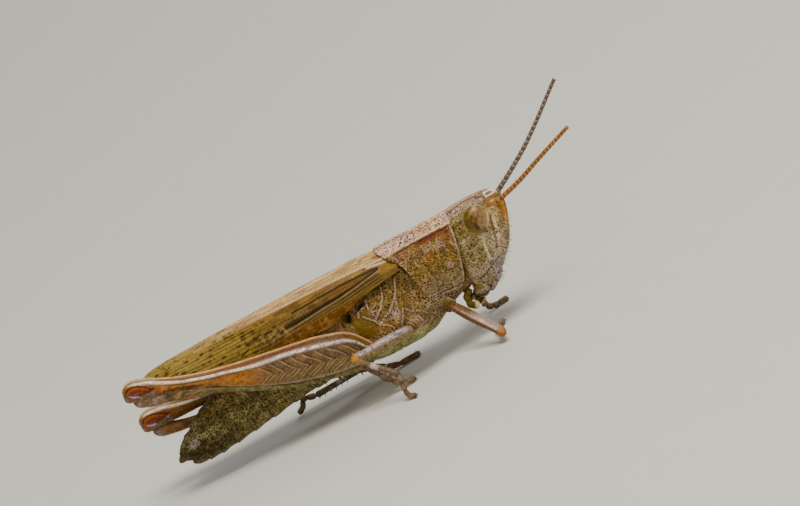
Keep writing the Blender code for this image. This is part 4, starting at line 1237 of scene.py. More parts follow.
def wing_colours(grid):
    """The stain of the wing, and its veins, as colour and height."""
    t = np.linspace(0, 1, WING_OUTER)[None] + 0 * grid[..., 0]
    x = grid[..., 0]
    ahead, up = seen_beside(grid)
    share = np.clip((WING_FRONT - x) / (WING_FRONT - WING_REAR), 0, 1)
    rear = fade(-ahead, 3.2, 5.6)
    sway = 0.7 * (grain(grid * (0.3, 1, 1), 0.6, 71) - 0.5)
    number = t * VEINS * (1 - 0.12 * share) + sway
    from_line = np.abs(number - np.round(number))
    vein = band(from_line, 0, 0.17)
    row = np.round(number - 0.5).astype(int)
    jog = lattice(np.stack([row, row, row], -1), 72)
    cells = x / (0.13 + 0.1 * share) + jog * 7
    cross = band(cells - np.round(cells), 0, 0.2) * (1 - vein)
    dash_at = x / DASH_MM + jog * 5
    dash_cells = np.floor(dash_at).astype(int)
    fate = lattice(np.stack([row, dash_cells, row * 3], -1), 73)
    dash = (fate < 0.02 + 0.11 * rear) * band(number - row - 0.5, 0, 0.34)
    dash = dash * within(dash_at - dash_cells, 0.12, 0.88, 0.12)

    dorsal = fade(up, 6.44 - 0.03 * ahead, 6.52 - 0.03 * ahead) * (1 - 0.85 * fade(-ahead, 5.5, 8.5))
    fold_vein = stroke(ahead, up, FOLD_LINE, 0.05)
    fold_shade = stroke(ahead, up, [(a, b - 0.09) for a, b in FOLD_LINE], 0.035)
    second = stroke(ahead, up, [(2.2, 6.22), (0.0, 6.38), (-2.0, 6.48), (-4.0, 6.58), (-6.5, 6.66)], 0.035)
    tan_field = fade(up, 5.88, 5.98) * (1 - dorsal) * (1 - rear)
    fold_field = tan_field * fade(ahead, -1.5, 1.5)
    root_pale = stroke(ahead, up, [(3.0, 5.78), (2.5, 5.86), (1.95, 5.96)], 0.05)
    ladder = within(up, 5.42, 5.84, 0.04) * within(ahead, -3.3, 2.3, 0.12)
    front_ladder = ladder * fade(ahead, -0.6, 0.1)
    bars = ahead / LADDER_MM
    bars = band(bars - np.round(bars), 0, 0.24)
    rim_dark = stroke(ahead, up, UPPER_EDGE, 0.05)
    black = stroke(ahead, up, LOWER_EDGE, 0.065)
    pale_vein = stroke(ahead, up, [(2.6, 5.56), (1.0, 5.36), (0.0, 5.27), (-1.5, 5.22), (-3.5, 5.14)], 0.035)
    low_lines = 0
    for k in (0.08, 0.22, 0.36):
        line = [(3.6, 5.45 - k), (0.5, 5.22 - k * 1.1), (-3.5, 5.06 - k * 1.15)]
        low_lines = low_lines + stroke(ahead, up, line, 0.03)
    dark_run = within(ahead, -5.2, -3.0, 0.35) * within(up, 4.95, 5.62, 0.08)
    smudge = 0
    for line, half_width in (
        ([(-5.45, 5.62), (-4.7, 5.63)], 0.05),
        ([(-5.9, 5.2), (-5.4, 5.38)], 0.04),
        ([(-5.45, 6.12), (-4.75, 6.10)], 0.035),
        ([(-4.3, 5.6), (-3.9, 5.58)], 0.06),
    ):
        smudge = smudge + stroke(ahead, up, line, half_width)
    low_orange = fall(up, 4.95, 5.1) * within(ahead, -4.5, 0.6, 0.4)
    hem = (1 - rear) * fall(up, 4.78, 4.98)
    stripes = blots(grid * (0.1, 1, 1), 0.075, 78, 0.42, 0.6) * (1 - 0.7 * hem)
    at_root = fade(ahead, 2.0, 2.8)
    hem_lines = hem * squiggles(grid * (0.8, 1, 1), 0.25, 80, 0.06) * fall(ahead, -1.2, -0.6)
    rear_ladder = ladder * (1 - front_ladder)
    colour = paint(
        "#786217",
        (blots(grid * (0.35, 1, 1), 0.5, 74, 0.35, 0.65) * 0.6, "#8F792A"),
        (rear * fade(-ahead, 4.5, 9.0) * 0.8, "#AE9C48"),
        (tan_field * 0.8, "#8E6C2C"),
        (fold_field * 0.8, "#D8B46D"),
        (within(up, 5.0, 5.42, 0.05) * (1 - rear) * (0.9 - 0.6 * at_root), "#281B00"),
        (fall(up, 4.98, 5.1) * (1 - rear) * 0.9, "#563C07"),
        (low_orange * 0.5, "#633C04"),
        (hem * blots(grid * (0.7, 1, 1), 0.13, 79, 0.52, 0.66) * 0.6, "#806024"),
        (hem_lines * 0.6, "#A07B3A"),
        (stripes * (1 - dorsal) * (0.58 - 0.2 * rear), "#33210A"),
        (fade(ahead, 2.2, 2.9) * within(up, 5.3, 5.9, 0.08) * 0.7, "#94741C"),
        (dorsal, "#DDB86E"),
        (dorsal * blots(grid * (0.2, 1, 1), 0.12, 75, 0.45, 0.6) * 0.6, "#F8DCA6"),
        (dorsal * stripes * 0.6, "#8C6842"),
        (ladder * 0.85, "#4A340C"),
        (front_ladder * 0.8, "#7C5306"),
        (front_ladder * bars * 0.9, "#231506"),
        (rear_ladder * (1 - bars) * blots(grid, 0.25, 76, 0.35, 0.65) * 0.7, "#8A7434"),
        (rear_ladder * within(up, 5.38, 5.52, 0.03) * 0.85, "#1E1204"),
        (dark_run * 0.6, "#432F0E"),
        (dark_run * blots(grid * (0.6, 1, 1), 0.09, 77, 0.5, 0.6) * 0.55, "#9C8A4E"),
        (rear * vein * 0.6, "#A08A3C"),
        (rear * band(from_line, 0.5, 0.16) * 0.45, "#4A380C"),
        ((1 - rear - hem).clip(0) * vein * (1 - dorsal) * 0.2, "#A68E58"),
        (cross * (1 - dorsal - hem).clip(0) * 0.16, "#A08A52"),
        (dorsal * band(up, 6.56 - 0.02 * ahead, 0.025) * 0.7, "#7A5E34"),
        (rim_dark, "#211204"),
        (black, "#170E04"),
        (pale_vein * 0.8, "#A08B50"),
        (low_lines.clip(0, 1) * (1 - 0.8 * hem) * (0.6 - 0.35 * at_root), "#8C7838"),
        (second * 0.6, "#D6BD8C"),
        (fold_vein * (1 - 0.7 * rear) * 0.9, "#EACB8C"),
        (fold_shade * (1 - rear) * 0.5, "#6A4A1A"),
        (root_pale, "#D8CDB8"),
        (smudge.clip(0, 1), "#1C1206"),
        (rear * spots(grid * (0.6, 1, 1), 0.2, 0.4, 98) * 0.7, "#33240C"),
        (dash * 0.85, "#2E200C"),
    )
    height = 0.022 * vein * (0.4 + 0.6 * rear - 0.3 * hem) + 0.010 * cross * (1 - hem)
    return colour, height + 0.04 * fold_vein + 0.03 * pale_vein - 0.02 * black


for side_name, side in SIDES:
    wing = wing_grid(side)
    colour, height = wing_colours(wing[:, :WING_OUTER])
    lining = np.broadcast_to(linear("#6B5730"), (WING_RINGS, wing.shape[1] - WING_OUTER, 3))
    colour = np.concatenate([colour, lining], 1)
    wing = raised(wing, np.concatenate([height, np.zeros(lining.shape[:2])], 1))
    dress(f"leathery_wing_{side_name}", wing, colour, 0.0, WING, "wing", f"wing_{side_name}")

# %% [markdown]
# ## The jumping legs
# The hind thigh is a long tapering club, deep near the hip and slim before the knee. Along its outer face
# runs a raised white rib, and under it a herringbone of slanting bars where the muscles are anchored, all
# pointing to the hip. The knee has a rust-red crescent. Markings are worked out on the right thigh's own
# side view and laid on both thighs, inside and out.

# %% Shape of the hind thighs
FEMUR_LENGTH = 12.3
HIP = np.array([0.45, 2.40, 3.02])
KNEE_SIDE = 2.10
FEMUR_RISE = {-1: math.radians(17.2), 1: math.radians(4.5)}
# share of the length, reach above and below the axis, half width
FEMUR_ROWS = [
    (-0.006, 0.10, 0.30, 0.24),
    (0.030, 0.46, 0.82, 0.36),
    (0.070, 0.80, 0.98, 0.44),
    (0.130, 1.00, 1.10, 0.52),
    (0.216, 1.01, 1.16, 0.55),
    (0.310, 0.90, 1.15, 0.53),
    (0.418, 0.74, 1.04, 0.46),
    (0.511, 0.60, 0.86, 0.40),
    (0.610, 0.48, 0.62, 0.34),
    (0.710, 0.40, 0.40, 0.30),
    (0.790, 0.40, 0.34, 0.27),
    (0.860, 0.46, 0.38, 0.28),
    (0.920, 0.58, 0.40, 0.34),
    (0.965, 0.70, 0.38, 0.40),
    (1.010, 0.72, 0.46, 0.42),
    (1.048, 0.60, 0.44, 0.36),
    (1.066, 0.38, 0.30, 0.24),
    (1.072, 0.14, 0.12, 0.10),
]
FEMUR_SECTION = [
    (0.0, 1.0),
    (0.62, 0.72),
    (0.95, 0.25),
    (0.98, -0.2),
    (0.80, -0.72),
    (0.30, -0.98),
    (-0.30, -0.98),
    (-0.80, -0.70),
    (-0.90, 0.0),
    (-0.62, 0.72),
]
# share of the thigh and height above its axis: the white rib, with its half width, and the lower keel
RIB = [
    (0.0, -0.10, 0.05),
    (0.022, 0.02, 0.06),
    (0.043, 0.24, 0.065),
    (0.08, 0.49, 0.07),
    (0.115, 0.60, 0.08),
    (0.2, 0.60, 0.095),
    (0.286, 0.57, 0.10),
    (0.372, 0.48, 0.10),
    (0.456, 0.32, 0.095),
    (0.539, 0.22, 0.085),
    (0.624, 0.19, 0.08),
    (0.708, 0.15, 0.08),
    (0.794, 0.16, 0.075),
    (0.883, 0.29, 0.10),
    (0.93, 0.43, 0.12),
    (0.975, 0.54, 0.12),
    (1.07, 0.58, 0.11),
]
LOWER_KEEL = [(0.0, -0.66), (0.083, -0.84), (0.163, -0.99), (0.244, -1.05), (0.334, -1.06), (0.421, -0.99)]
LOWER_KEEL += [(0.511, -0.86), (0.601, -0.62), (0.688, -0.46), (0.78, -0.3), (1.0, -0.3)]
FEMUR_RINGS, FEMUR_ROUND = 330, 112
CROWDED = 0.25  # how far the rings crowd towards both ends


def femur_axes(side):
    """The hip, and the directions along the thigh to the knee, up across it and out from the body."""
    rise = FEMUR_RISE[side]
    inward = (HIP[1] - KNEE_SIDE) / FEMUR_LENGTH
    along = np.array([-math.cos(rise), -side * inward, math.sin(rise)])
    along /= np.linalg.norm(along)
    out = np.cross(along, [0, 0, 1])
    out *= side * np.sign(out[1]) / np.linalg.norm(out)
    up = np.cross(out, along)
    up *= np.sign(up[2]) / np.linalg.norm(up)
    return on_side(HIP, side), along, up, out


def closed_curve(points, count):
    """Places round a smooth closed curve through the points."""
    points = np.array(points, float)
    at = np.linspace(0, len(points), count, endpoint=False)
    i = at.astype(int)
    t = (at - i)[:, None]
    a, b, c, d = [points[(i + k) % len(points)] for k in (-1, 0, 1, 2)]
    return 0.5 * (2 * b + (c - a) * t + (2 * a - 5 * b + 4 * c - d) * t**2 + (3 * b - a - 3 * c + d) * t**3)


def femur_local():
    """Share along, height above the axis and distance out, for each point of the thigh's grid."""
    bend = np.linspace(0, math.pi, FEMUR_RINGS)
    span = FEMUR_ROWS[-1][0] - FEMUR_ROWS[0][0]
    shares = FEMUR_ROWS[0][0] + span * (CROWDED * (1 - np.cos(bend)) / 2 + (1 - CROWDED) * bend / math.pi)
    section = closed_curve(FEMUR_SECTION, FEMUR_ROUND)
    above, below, half = columns(FEMUR_ROWS, shares)
    reach = np.where(section[None, :, 1] >= 0, above, below)
    return shares[:, None] + 0 * reach, section[None, :, 1] * reach, section[None, :, 0] * half


def placed_femur(side, share, up_by, out_by):
    hip, along, up, out = femur_axes(side)
    return hip + (share * FEMUR_LENGTH)[..., None] * along + up_by[..., None] * up + out_by[..., None] * out


share, rise, out = femur_local()
as_seen = placed_femur(-1, share, rise, np.abs(out))
print("thigh grid", share.shape, "points")

# %% Rib, keels and herringbone of the thigh
BAR_MM = 0.66  # from one slanting bar to the next
ahead, up = seen_beside(as_seen)
top, _, half = columns(FEMUR_ROWS, share[:, 0])
on_face = fade(np.abs(out) / half, 0.3, 0.75)
rib_up, rib_half = columns(RIB, share[:, 0])
keel_up = columns(LOWER_KEEL, share[:, 0])[0]
rib = np.exp(-(((rise - rib_up) / rib_half) ** 4)) * on_face
rib_core = band(rise, rib_up + 0.01, rib_half * (0.85 - 0.2 * fade(share, 0.45, 0.6))) * on_face
keel = band(rise, keel_up, 0.05) * fall(share, 0.72, 0.8) * fade(np.abs(out), 0.05, 0.15)
crest = band(rise, top, 0.035)
middle_up = -0.20 - 0.6 * (share - 0.1)
arm = np.abs(rise - middle_up)
upper_arm = rise > middle_up
bars_at = (share * FEMUR_LENGTH - 1.3 * arm + 0.3 * (grain(as_seen, 0.6, 81) - 0.5)) / BAR_MM
nearest = bars_at - np.round(bars_at)
bone_field = within(share, 0.04, 0.49, 0.04) * fade(rib_up - rib_half - 0.03 - rise, 0, 0.08)
bone_field = bone_field * fade(rise - keel_up, 0.04, 0.12) * on_face
bar = band(nearest, np.where(upper_arm, -0.11, 0), np.where(upper_arm, 0.09, 0.07)) * bone_field
bar_light = band(nearest, np.where(upper_arm, 0.02, 0.15), 0.055)
bar_light = np.maximum(bar_light, ~upper_arm * band(nearest, -0.15, 0.055)) * bone_field
spine_line = band(rise, middle_up, 0.05) * bone_field
print("bars on the thigh:", round(0.45 * FEMUR_LENGTH / BAR_MM))

# %% Knee and colours of the thigh
knee = fade(share, 0.905, 0.935)
CRESCENT = [(-12.22, 6.28), (-12.12, 6.52), (-11.92, 6.66), (-11.65, 6.68)]
CRESCENT += [(-11.35, 6.56), (-11.08, 6.36), (-10.85, 6.14), (-10.68, 6.02)]
CHORD = [(-12.2, 6.3), (-11.9, 6.22), (-11.5, 6.10), (-11.1, 6.06), (-10.7, 6.03)]
arch = stroke(ahead, up, [(a, b - 0.10) for a, b in CRESCENT], 0.095)
arch_edge = stroke(ahead, up, CRESCENT, 0.045)
chord = stroke(ahead, up, CHORD, 0.07)
inside = stroke(ahead, up, [(-11.9, 6.4), (-11.5, 6.36), (-11.1, 6.18)], 0.15)
lobe = fall(up, 5.98, 6.06) * fade(-ahead, 10.6, 10.9)
# painted highlight: a lilac sheen beside the dark chord at the knee's lower edge
knee_lilac_highlight = stroke(ahead, up, [(-12.0, 6.3), (-11.85, 6.18), (-11.6, 6.08)], 0.05)

above_rib = fade(rise - rib_up, 0.07, 0.13)
below_rib = fade(rib_up - rise, 0.12, 0.2)
far_half = fade(share, 0.42, 0.60)
lower_edge = fade(keel_up - rise, 0.0, 0.1)
streak = blots(as_seen * (0.3, 1, 1), 0.12, 82, 0.48, 0.62)
past_middle = fade(share, 0.38, 0.5)
low_end = below_rib * fade(share, 0.66, 0.8) * fall(rise, -0.16, 0.02)
upper_line = above_rib * within(rise, rib_up + 0.12, rib_up + 0.24, 0.03)
upper_line = upper_line * fade(share, 0.35, 0.5) * (1 - knee)
under_keel = fade(keel_up - rise, 0.04, 0.12) * fade(rise - keel_up, -0.24, -0.16) * fall(share, 0.72, 0.8)
rib_stain = rib * blots(as_seen * (0.6, 1, 1), 0.1, 88, 0.59, 0.67) * (1 - 0.5 * fade(share, 0.3, 0.45))
thigh_colour = paint(
    "#655133",
    (blots(as_seen, 0.25, 83, 0.42, 0.6) * 0.6, "#866C48"),
    (below_rib * within(share, 0.0, 0.5, 0.06) * fall(rise, -0.45, 0.0) * 0.4, "#7A6E2E"),
    (below_rib * far_half * (0.72 + 0.28 * fade(rise, -0.12, 0.1)), "#C98422"),
    (below_rib * far_half * streak * 0.7, "#8A5418"),
    (below_rib * past_middle * blots(as_seen, 0.2, 89, 0.55, 0.7) * 0.6, "#A2753E"),
    (below_rib * past_middle * spots(as_seen, 0.2, 0.4, 90) * 0.55, "#643510"),
    (low_end * 0.9, "#684A26"),
    (low_end * streak * 0.7, "#321C0C"),
    (below_rib * fade(share, 0.7, 0.8) * (out < 0) * 0.6, "#6C4A20"),
    (below_rib * far_half * fade(rise, -0.1, 0.1) * 0.35, "#8C4A16"),
    (lower_edge * 0.8, "#6C6242"),
    (bar * 0.95, "#32190A"),
    (bar_light * 0.95, "#B39C74"),
    (spine_line * 0.25, "#4A2C14"),
    (above_rib * 0.95, "#6E560E"),
    (above_rib * fade(share, 0.15, 0.35) * 0.9, "#7E4606"),
    (above_rib * blots(as_seen, 0.14, 84, 0.58, 0.68) * 0.6, "#5A3418"),
    (band(rise, top - 0.13, 0.05) * within(share, 0.1, 0.9, 0.05) * 0.75, "#4E2610"),
    (upper_line * 0.7, "#70400F"),
    (crest * (1 - knee) * 0.95, "#EBBC6C"),
    (crest * fall(share, 0.15, 0.3) * 0.8, "#B89A80"),
    (crest * knee, "#D1CA82"),
    (rib_core * 0.3, "#CDB682"),
    (rib_core, "#FFF4DC"),
    (rib_core * far_half, "#FFEAB4"),
    (rib * fall(share, 0.1, 0.28) * 0.6, "#A49AA6"),
    (rib * blots(as_seen, 0.1, 85, 0.62, 0.7) * 0.45, "#A9A29A"),
    (rib_stain * 0.8, "#6E6270"),
    (keel * 0.95, "#9C8E7E"),
    (under_keel * 0.7, "#2A200C"),
    (knee * above_rib * 0.6, "#B4A28C"),
    (knee * (1 - rib) * below_rib * 0.7, "#6A4A26"),
    (knee * inside, "#5E2E1E"),
    (knee * arch, "#9A5013"),
    (knee * arch_edge, "#260E04"),
    (knee * lobe * 0.9, "#746746"),
    (knee * lobe * blots(as_seen, 0.18, 86, 0.45, 0.6) * 0.7, "#96898E"),
    (knee * chord * 0.85, "#4A2412"),
    (knee * knee_lilac_highlight * 0.9, "#A894A2"),
    (fade(-ahead, 12.05, 12.25) * 0.9, "#7A6C54"),
)
height = 0.07 * rib + 0.045 * keel + 0.03 * crest - 0.022 * bar + 0.012 * bar_light - 0.05 * bone_field
height = height + knee * (0.05 * arch - 0.04 * chord - 0.03 * inside)
height = height + 0.012 * (grain(as_seen, 0.18, 87) - 0.5)
thigh_pits = np.clip(0.55 * (1 - rib) * (1 - far_half) + 0.25 * above_rib + knee * lobe, 0, 1) * (1 - bar)
thigh_hair = 0.10 * crest + 0.06
for side_name, side in SIDES:
    thigh = raised(placed_femur(side, share, rise, out), height)
    node = f"hind_femur_{side_name}"
    dress(
        f"jumping_thigh_{side_name}", thigh, thigh_colour, thigh_pits, SMOOTH, "femur", node, hair=thigh_hair
    )

# %% [markdown]
# ## Shanks
# A folded shank lies close under the thigh. It is a thin tube, swollen at the knee and flared at the ankle.

# %% Hind shanks
# where each folded shank runs: share of the thigh from the hip, and how far below its axis in mm
TIBIA_FOLD = {
    -1: [(0.89, 0.38), (0.79, 0.55), (0.70, 0.62), (0.53, 0.96), (0.36, 1.26), (0.2, 1.2)],
    1: [(0.90, 0.84), (0.8, 0.94), (0.5, 1.34), (0.25, 1.56)],
}
ANKLE_HIND = {-1: (-0.45, -2.32, 2.25), 1: (-0.60, 2.42, 0.80)}


def shank_path(side):
    hip, along, up, _ = femur_axes(side)
    knee = hip + along * FEMUR_LENGTH
    path = [knee - up * 0.50 + along * 0.42]
    path += [hip + along * at * FEMUR_LENGTH - up * below for at, below in TIBIA_FOLD[side]]
    return path + [np.array(ANKLE_HIND[side])]


for side_name, side in SIDES:
    broad = 0.12 if side < 0 else 0.0
    rows = [(0, 0.10, 0.10), (0.012, 0.27, 0.24), (0.04, 0.38, 0.30)]
    rows += [(0.09, 0.34 + broad, 0.27), (0.17, 0.27 + 1.2 * broad, 0.24)]
    rows += [
        (0.26, 0.22 + broad, 0.2), (0.35, 0.2, 0.2), (0.85, 0.19, 0.19), (0.96, 0.26, 0.26), (1, 0.2, 0.2)
    ]
    shank, along, turn = tapered(shank_path(side), rows, 260, 44)
    knee_part = fall(along, 0.10, 0.16)
    ring_mark = band(along, 0.15, 0.02)
    upper_part = fall(along, 0.3, 0.4)
    lower_part = fade(along, 0.3, 0.45)
    mottle = blots(shank, 0.2, 91, 0.5, 0.65)
    shank_colour = paint(
        "#6D602C",
        (mottle * 0.5, "#7C6E40"),
        (lower_part * 0.7, "#5D5D25"),
        (lower_part * spots(shank, 0.2, 0.6, 93) * 0.7, "#26200A"),
        (lower_part * blots(shank, 0.15, 95, 0.55, 0.65) * 0.6, "#8C8646"),
        (blots(shank * (0.3, 1, 1), 0.08, 94, 0.52, 0.62) * upper_part * 0.65, "#2A160A"),
        (blots(shank * (0.25, 1, 1), 0.1, 99, 0.56, 0.66) * upper_part * 0.6, "#A27C4E"),
        (blots(shank * (0.3, 1, 1), 0.2, 92, 0.5, 0.6) * fall(along, 0.2, 0.4) * 0.7, "#98622C"),
        (knee_part * 0.5, "#6E6040"),
        (knee_part * mottle * 0.7, "#988C84"),
        ((side > 0) * within(along, 0.05, 0.3, 0.05) * 0.6, "#9A6420"),
        (ring_mark * 0.5, "#4A3A1C"),
        (band(np.cos(turn), 0, 0.18) * (np.sin(turn) < 0) * 0.6, "#4A4424"),
        (fade(along, 0.93, 0.99) * 0.6, "#8A7A48"),
    )
    node = f"hind_tibia_{side_name}"
    dress(f"folded_shank_{side_name}", shank, shank_colour, 0.5, LIMB, "shank", node, hair=0.12)

# %% [markdown]
# ## Walking legs and feet
# The front and middle legs are plain tubes with small keels. Each foot has three joints with soft pads
# beneath, then two hooked claws with a pad between them. The foot is one form whose height steps at each
# joint; the claws are separate, as they are harder and darker.

# %% Walking legs
LEG_HIPS = {"fore": (5.02, 1.48, 2.54), "mid": (2.66, 2.04, 2.62)}
KNEES = {
    ("fore", -1): (6.85, -3.85, 0.56),
    ("fore", 1): (6.25, 3.90, 3.05),
    ("mid", -1): (-0.62, -3.40, 2.98),
    ("mid", 1): (-1.15, 3.55, 0.68),
}
ANKLES = {
    ("fore", -1): (6.48, -1.35, 0.42),
    ("fore", 1): (6.15, 3.55, 0.42),
    ("mid", -1): (1.12, -4.35, 1.42),
    ("mid", 1): (-4.00, 3.66, 0.58),
    ("hind", -1): ANKLE_HIND[-1],
    ("hind", 1): ANKLE_HIND[1],
}
SOLE_HEIGHT = 0.17
TOES = {
    ("fore", -1): ((6.55, -0.80, 0.24), (6.85, 0.10, SOLE_HEIGHT)),
    ("fore", 1): ((6.45, 3.65, 0.24), (7.35, 4.00, SOLE_HEIGHT)),
    ("mid", -1): ((1.00, -4.68, 0.50), (1.42, -4.98, SOLE_HEIGHT)),
    ("mid", 1): ((-4.72, 3.63, 0.76), (-5.30, 3.58, SOLE_HEIGHT)),
    ("hind", -1): ((0.50, -2.10, 0.62), (1.55, -1.75, SOLE_HEIGHT)),
    ("hind", 1): ((0.40, 2.50, 0.30), (2.00, 2.65, SOLE_HEIGHT)),
}
# a thigh's ground, low part, ridge and joint, then a shank's ground and its blots
LEG_TINTS = {
    "fore": ("#6E5228", "#7E6238", "#C4A890", "#A86A24", "#A36A2C", "#B98A54"),
    "mid": ("#8C7C50", "#9C9862", "#CFC2C8", "#B98A2C", "#6E5E3E", "#6E5A34"),
}
# which way round the thigh its pale ridge lies, and how wide it is
RIDGES = {"fore": (-1, 0.14), "mid": (1, 0.34)}
THIGH_ROWS = [(0, 0.20, 0.18), (0.08, 0.30, 0.24), (0.4, 0.34, 0.27), (0.85, 0.26, 0.23)]
THIGH_ROWS += [(0.95, 0.30, 0.26), (1.01, 0.24, 0.2), (1.04, 0.1, 0.1)]
SHANK_ROWS = [(0, 0.14), (0.02, 0.21), (0.08, 0.18), (0.88, 0.2), (0.97, 0.22), (1, 0.14)]
SHANK_ROWS = [(at, half * 0.85, half * 0.85) for at, half in SHANK_ROWS]
KNEE_LINE = 0.935  # share of the thigh where a dark line rings it

for place, leg_hip in LEG_HIPS.items():
    ground, low_tint, ridge_tint, joint_tint, shank_ground, shank_blots = LEG_TINTS[place]
    ridge_way, ridge_half = RIDGES[place]
    for side_name, side in SIDES:
        limb, along, turn = tapered((on_side(leg_hip, side), KNEES[place, side]), THIGH_ROWS, 120, 64)
        outward = np.cos(turn) * ridge_way * -side
        ridge = band(np.sin(turn), 0.6, ridge_half) * (outward > -0.3) * within(along, 0.08, 0.95, 0.05)
        low = fall(np.sin(turn), -0.85, -0.45)
        joint = fade(along, 0.93, 0.97)
        knee_line = band(along, KNEE_LINE, 0.01)
        # painted highlight: on the fore thighs, a pale glossy streak along the top of the far half
        top_highlight = (place == "fore") * band(np.sin(turn), 0.75, 0.3) * fade(along, 0.3, 0.6)
        dots = spots(limb, 0.22, 0.5, 95)
        limb_colour = paint(
            ground,
            (blots(limb, 0.3, 96, 0.4, 0.65) * 0.6, low_tint),
            (low * 0.7, low_tint),
            (dots * 0.7, "#5A3216"),
            (band(np.sin(turn), 0.05, 0.1) * 0.5, "#5E4428"),
            (ridge * 0.95, ridge_tint),
            (ridge * blots(limb * (0.6, 1, 1), 0.1, 100, 0.53, 0.61) * 0.8, "#57474A"),
            (ridge * blots(limb * (0.3, 1, 1), 0.1, 102, 0.52, 0.62) * 0.5, "#8C8088"),
            (top_highlight * 0.7, "#E0CDB8"),
            (joint * 0.8, joint_tint),
            (knee_line * 0.5, "#4A2C14"),
        )
        limb, limb_pits = raised(limb, 0.03 * ridge - 0.02 * knee_line), 0.3 * (1 - ridge)
        node = f"{place}_femur_{side_name}"
        dress(f"{place}_thigh_{side_name}", limb, limb_colour, limb_pits, SMOOTH, "femur", node, hair=0.35)

        limb, along, _ = tapered((KNEES[place, side], ANKLES[place, side]), SHANK_ROWS, 110, 48, up=(1, 0, 0))
        near_knee = fall(along, 0.1, 0.25)
        patch = within(along, 0.38, 0.54, 0.05) * blots(limb, 0.35, 97, 0.35, 0.55) * (place == "mid")
        limb_colour = paint(
            shank_ground,
            (blots(limb, 0.25, 98, 0.4, 0.6) * 0.6, shank_blots),
            (near_knee * 0.7, "#B4862C"),
            (patch * 0.8, "#D8D2CC"),
            (spots(limb, 0.2, 0.4, 99) * 0.7, "#4A3018"),
            (fade(along, 0.85, 1.0) * 0.5, "#5A4A34"),
        )
        node = f"{place}_tibia_{side_name}"
        dress(f"{place}_shank_{side_name}", limb, limb_colour, 0.25, LIMB, "shank", node, hair=0.45)

# %% Feet
FOOT_ROWS = [(0, 0.13, 0.13), (0.06, 0.16, 0.15), (0.9, 0.15, 0.14), (0.98, 0.12, 0.11), (1, 0.06, 0.06)]
FOOT_NECKS = (0.02, 0.30, 0.56)  # shares of the foot where its joints meet
CLAW_REACH = 0.16
CLAW_HOOK = 1.5  # radians that a claw bends through
CLAW_RINGS, CLAW_ROUND = 10, 10


def claw(tip, way, side_way):
    """A hooked claw, curved down from the toe's end, as rings of points."""
    down = np.array([0, 0, -1.0])
    s = np.linspace(0, 1, CLAW_RINGS)[:, None]
    line = tip + way * CLAW_REACH * np.sin(s * CLAW_HOOK)
    line = line + down * CLAW_REACH * 0.55 * (1 - np.cos(s * CLAW_HOOK)) + side_way * CLAW_REACH * 0.5 * s
    thick = 0.06 * (1 - s) ** 0.7 + 0.006
    angles = full_turn(CLAW_ROUND)[None, :, None]
    across_claw = np.cross(way, down)
    ring = np.cos(angles) * across_claw + np.sin(angles) * np.cross(across_claw, way)
    return line[:, None] + ring * thick[..., None]


for (place, side), (joint, tip) in TOES.items():
    side_name = "right" if side < 0 else "left"
    joint, tip = np.array(joint), np.array(tip)
    beyond = joint + (tip - joint) * 0.35
    beyond[2] = max(SOLE_HEIGHT, joint[2] - 0.35)
    foot, along, turn = tapered((ANKLES[place, side], joint, beyond, tip), FOOT_ROWS, 120, 44)
    joints = np.minimum.reduce([np.abs(along - at) for at in FOOT_NECKS])
    neck = band(joints, 0, 0.03)
    pads = band(along, 0.16, 0.09) + band(along, 0.43, 0.08) + 0.6 * band(along, 0.9, 0.06)
    pads = np.clip(-np.sin(turn), 0, 1) * pads
    foot = raised(foot, 0.03 * pads - 0.045 * neck)
    foot[..., 2] = np.maximum(foot[..., 2], 0.0)
    foot_colour = paint(
        "#6E5A39",
        (blots(foot, 0.2, 101, 0.4, 0.6) * 0.6, "#8A734E"),
        (neck * 0.7, "#2E2012"),
        (pads * 0.6, "#3E3020"),
        (band(along, 0.12, 0.08) * (np.sin(turn) > 0) * 0.4, "#9A8A6C"),
    )
    node = f"{place}_tarsus_{side_name}"
    dress(f"{place}_foot_{side_name}", foot, foot_colour, 0.3, LIMB, "shank", node, hair=0.5)
    way = (tip - beyond) / np.linalg.norm(tip - beyond)
    flat = np.cross(way, [0, 0, 1.0])
    for hand, hand_name in ((-1, "inner"), (1, "outer")):
        root = tip - way * CLAW_REACH + flat * hand * 0.06
        hook = claw(root, way, flat * hand)
        hook[..., 2] = np.maximum(hook[..., 2], 0.01)
        darker = np.linspace(0, 1, len(hook))[:, None] + 0 * hook[..., 0]
        hook_colour = paint("#3A2818", (darker, "#0E0906"))
        dress(f"{place}_claw_{side_name}_{hand_name}", hook, hook_colour, 0.0, SMOOTH, "shank")
print("feet:", len(TOES))

# %% [markdown]
# ## Node trees for what repeats
# Feeler rings follow a line, spines stand in rows along a line, and bristles are sown over a skin. Three
# small Geometry Nodes trees do this, each with its sizes as named inputs. Each instance is realized in the
# end, so that the result is one plain mesh.

# %% Helpers for node trees
SOCKETS = {float: "NodeSocketFloat", int: "NodeSocketInt", tuple: "NodeSocketVector"}


def start_tree(name, defaults):
    """A geometry tree with named inputs, its input and output nodes, and its inputs' identifiers."""
    tree = bpy.data.node_groups.new(name, "GeometryNodeTree")
    tree.interface.new_socket("Geometry", in_out="INPUT", socket_type="NodeSocketGeometry")
    tree.interface.new_socket("Geometry", in_out="OUTPUT", socket_type="NodeSocketGeometry")
    keys = {}
    for label, value in defaults.items():
        socket = tree.interface.new_socket(label, in_out="INPUT", socket_type=SOCKETS[type(value)])
        socket.default_value = value
        keys[label] = socket.identifier
    return tree, add(tree, "NodeGroupInput").outputs, add(tree, "NodeGroupOutput"), keys


def even_points(tree, given, count):
    """Points spaced evenly along the bare line that the tree is given."""
    line = add(tree, "GeometryNodeMeshToCurve", {"Mesh": given["Geometry"]})
    return add(tree, "GeometryNodeResampleCurve", {"Curve": line, "Count": count})


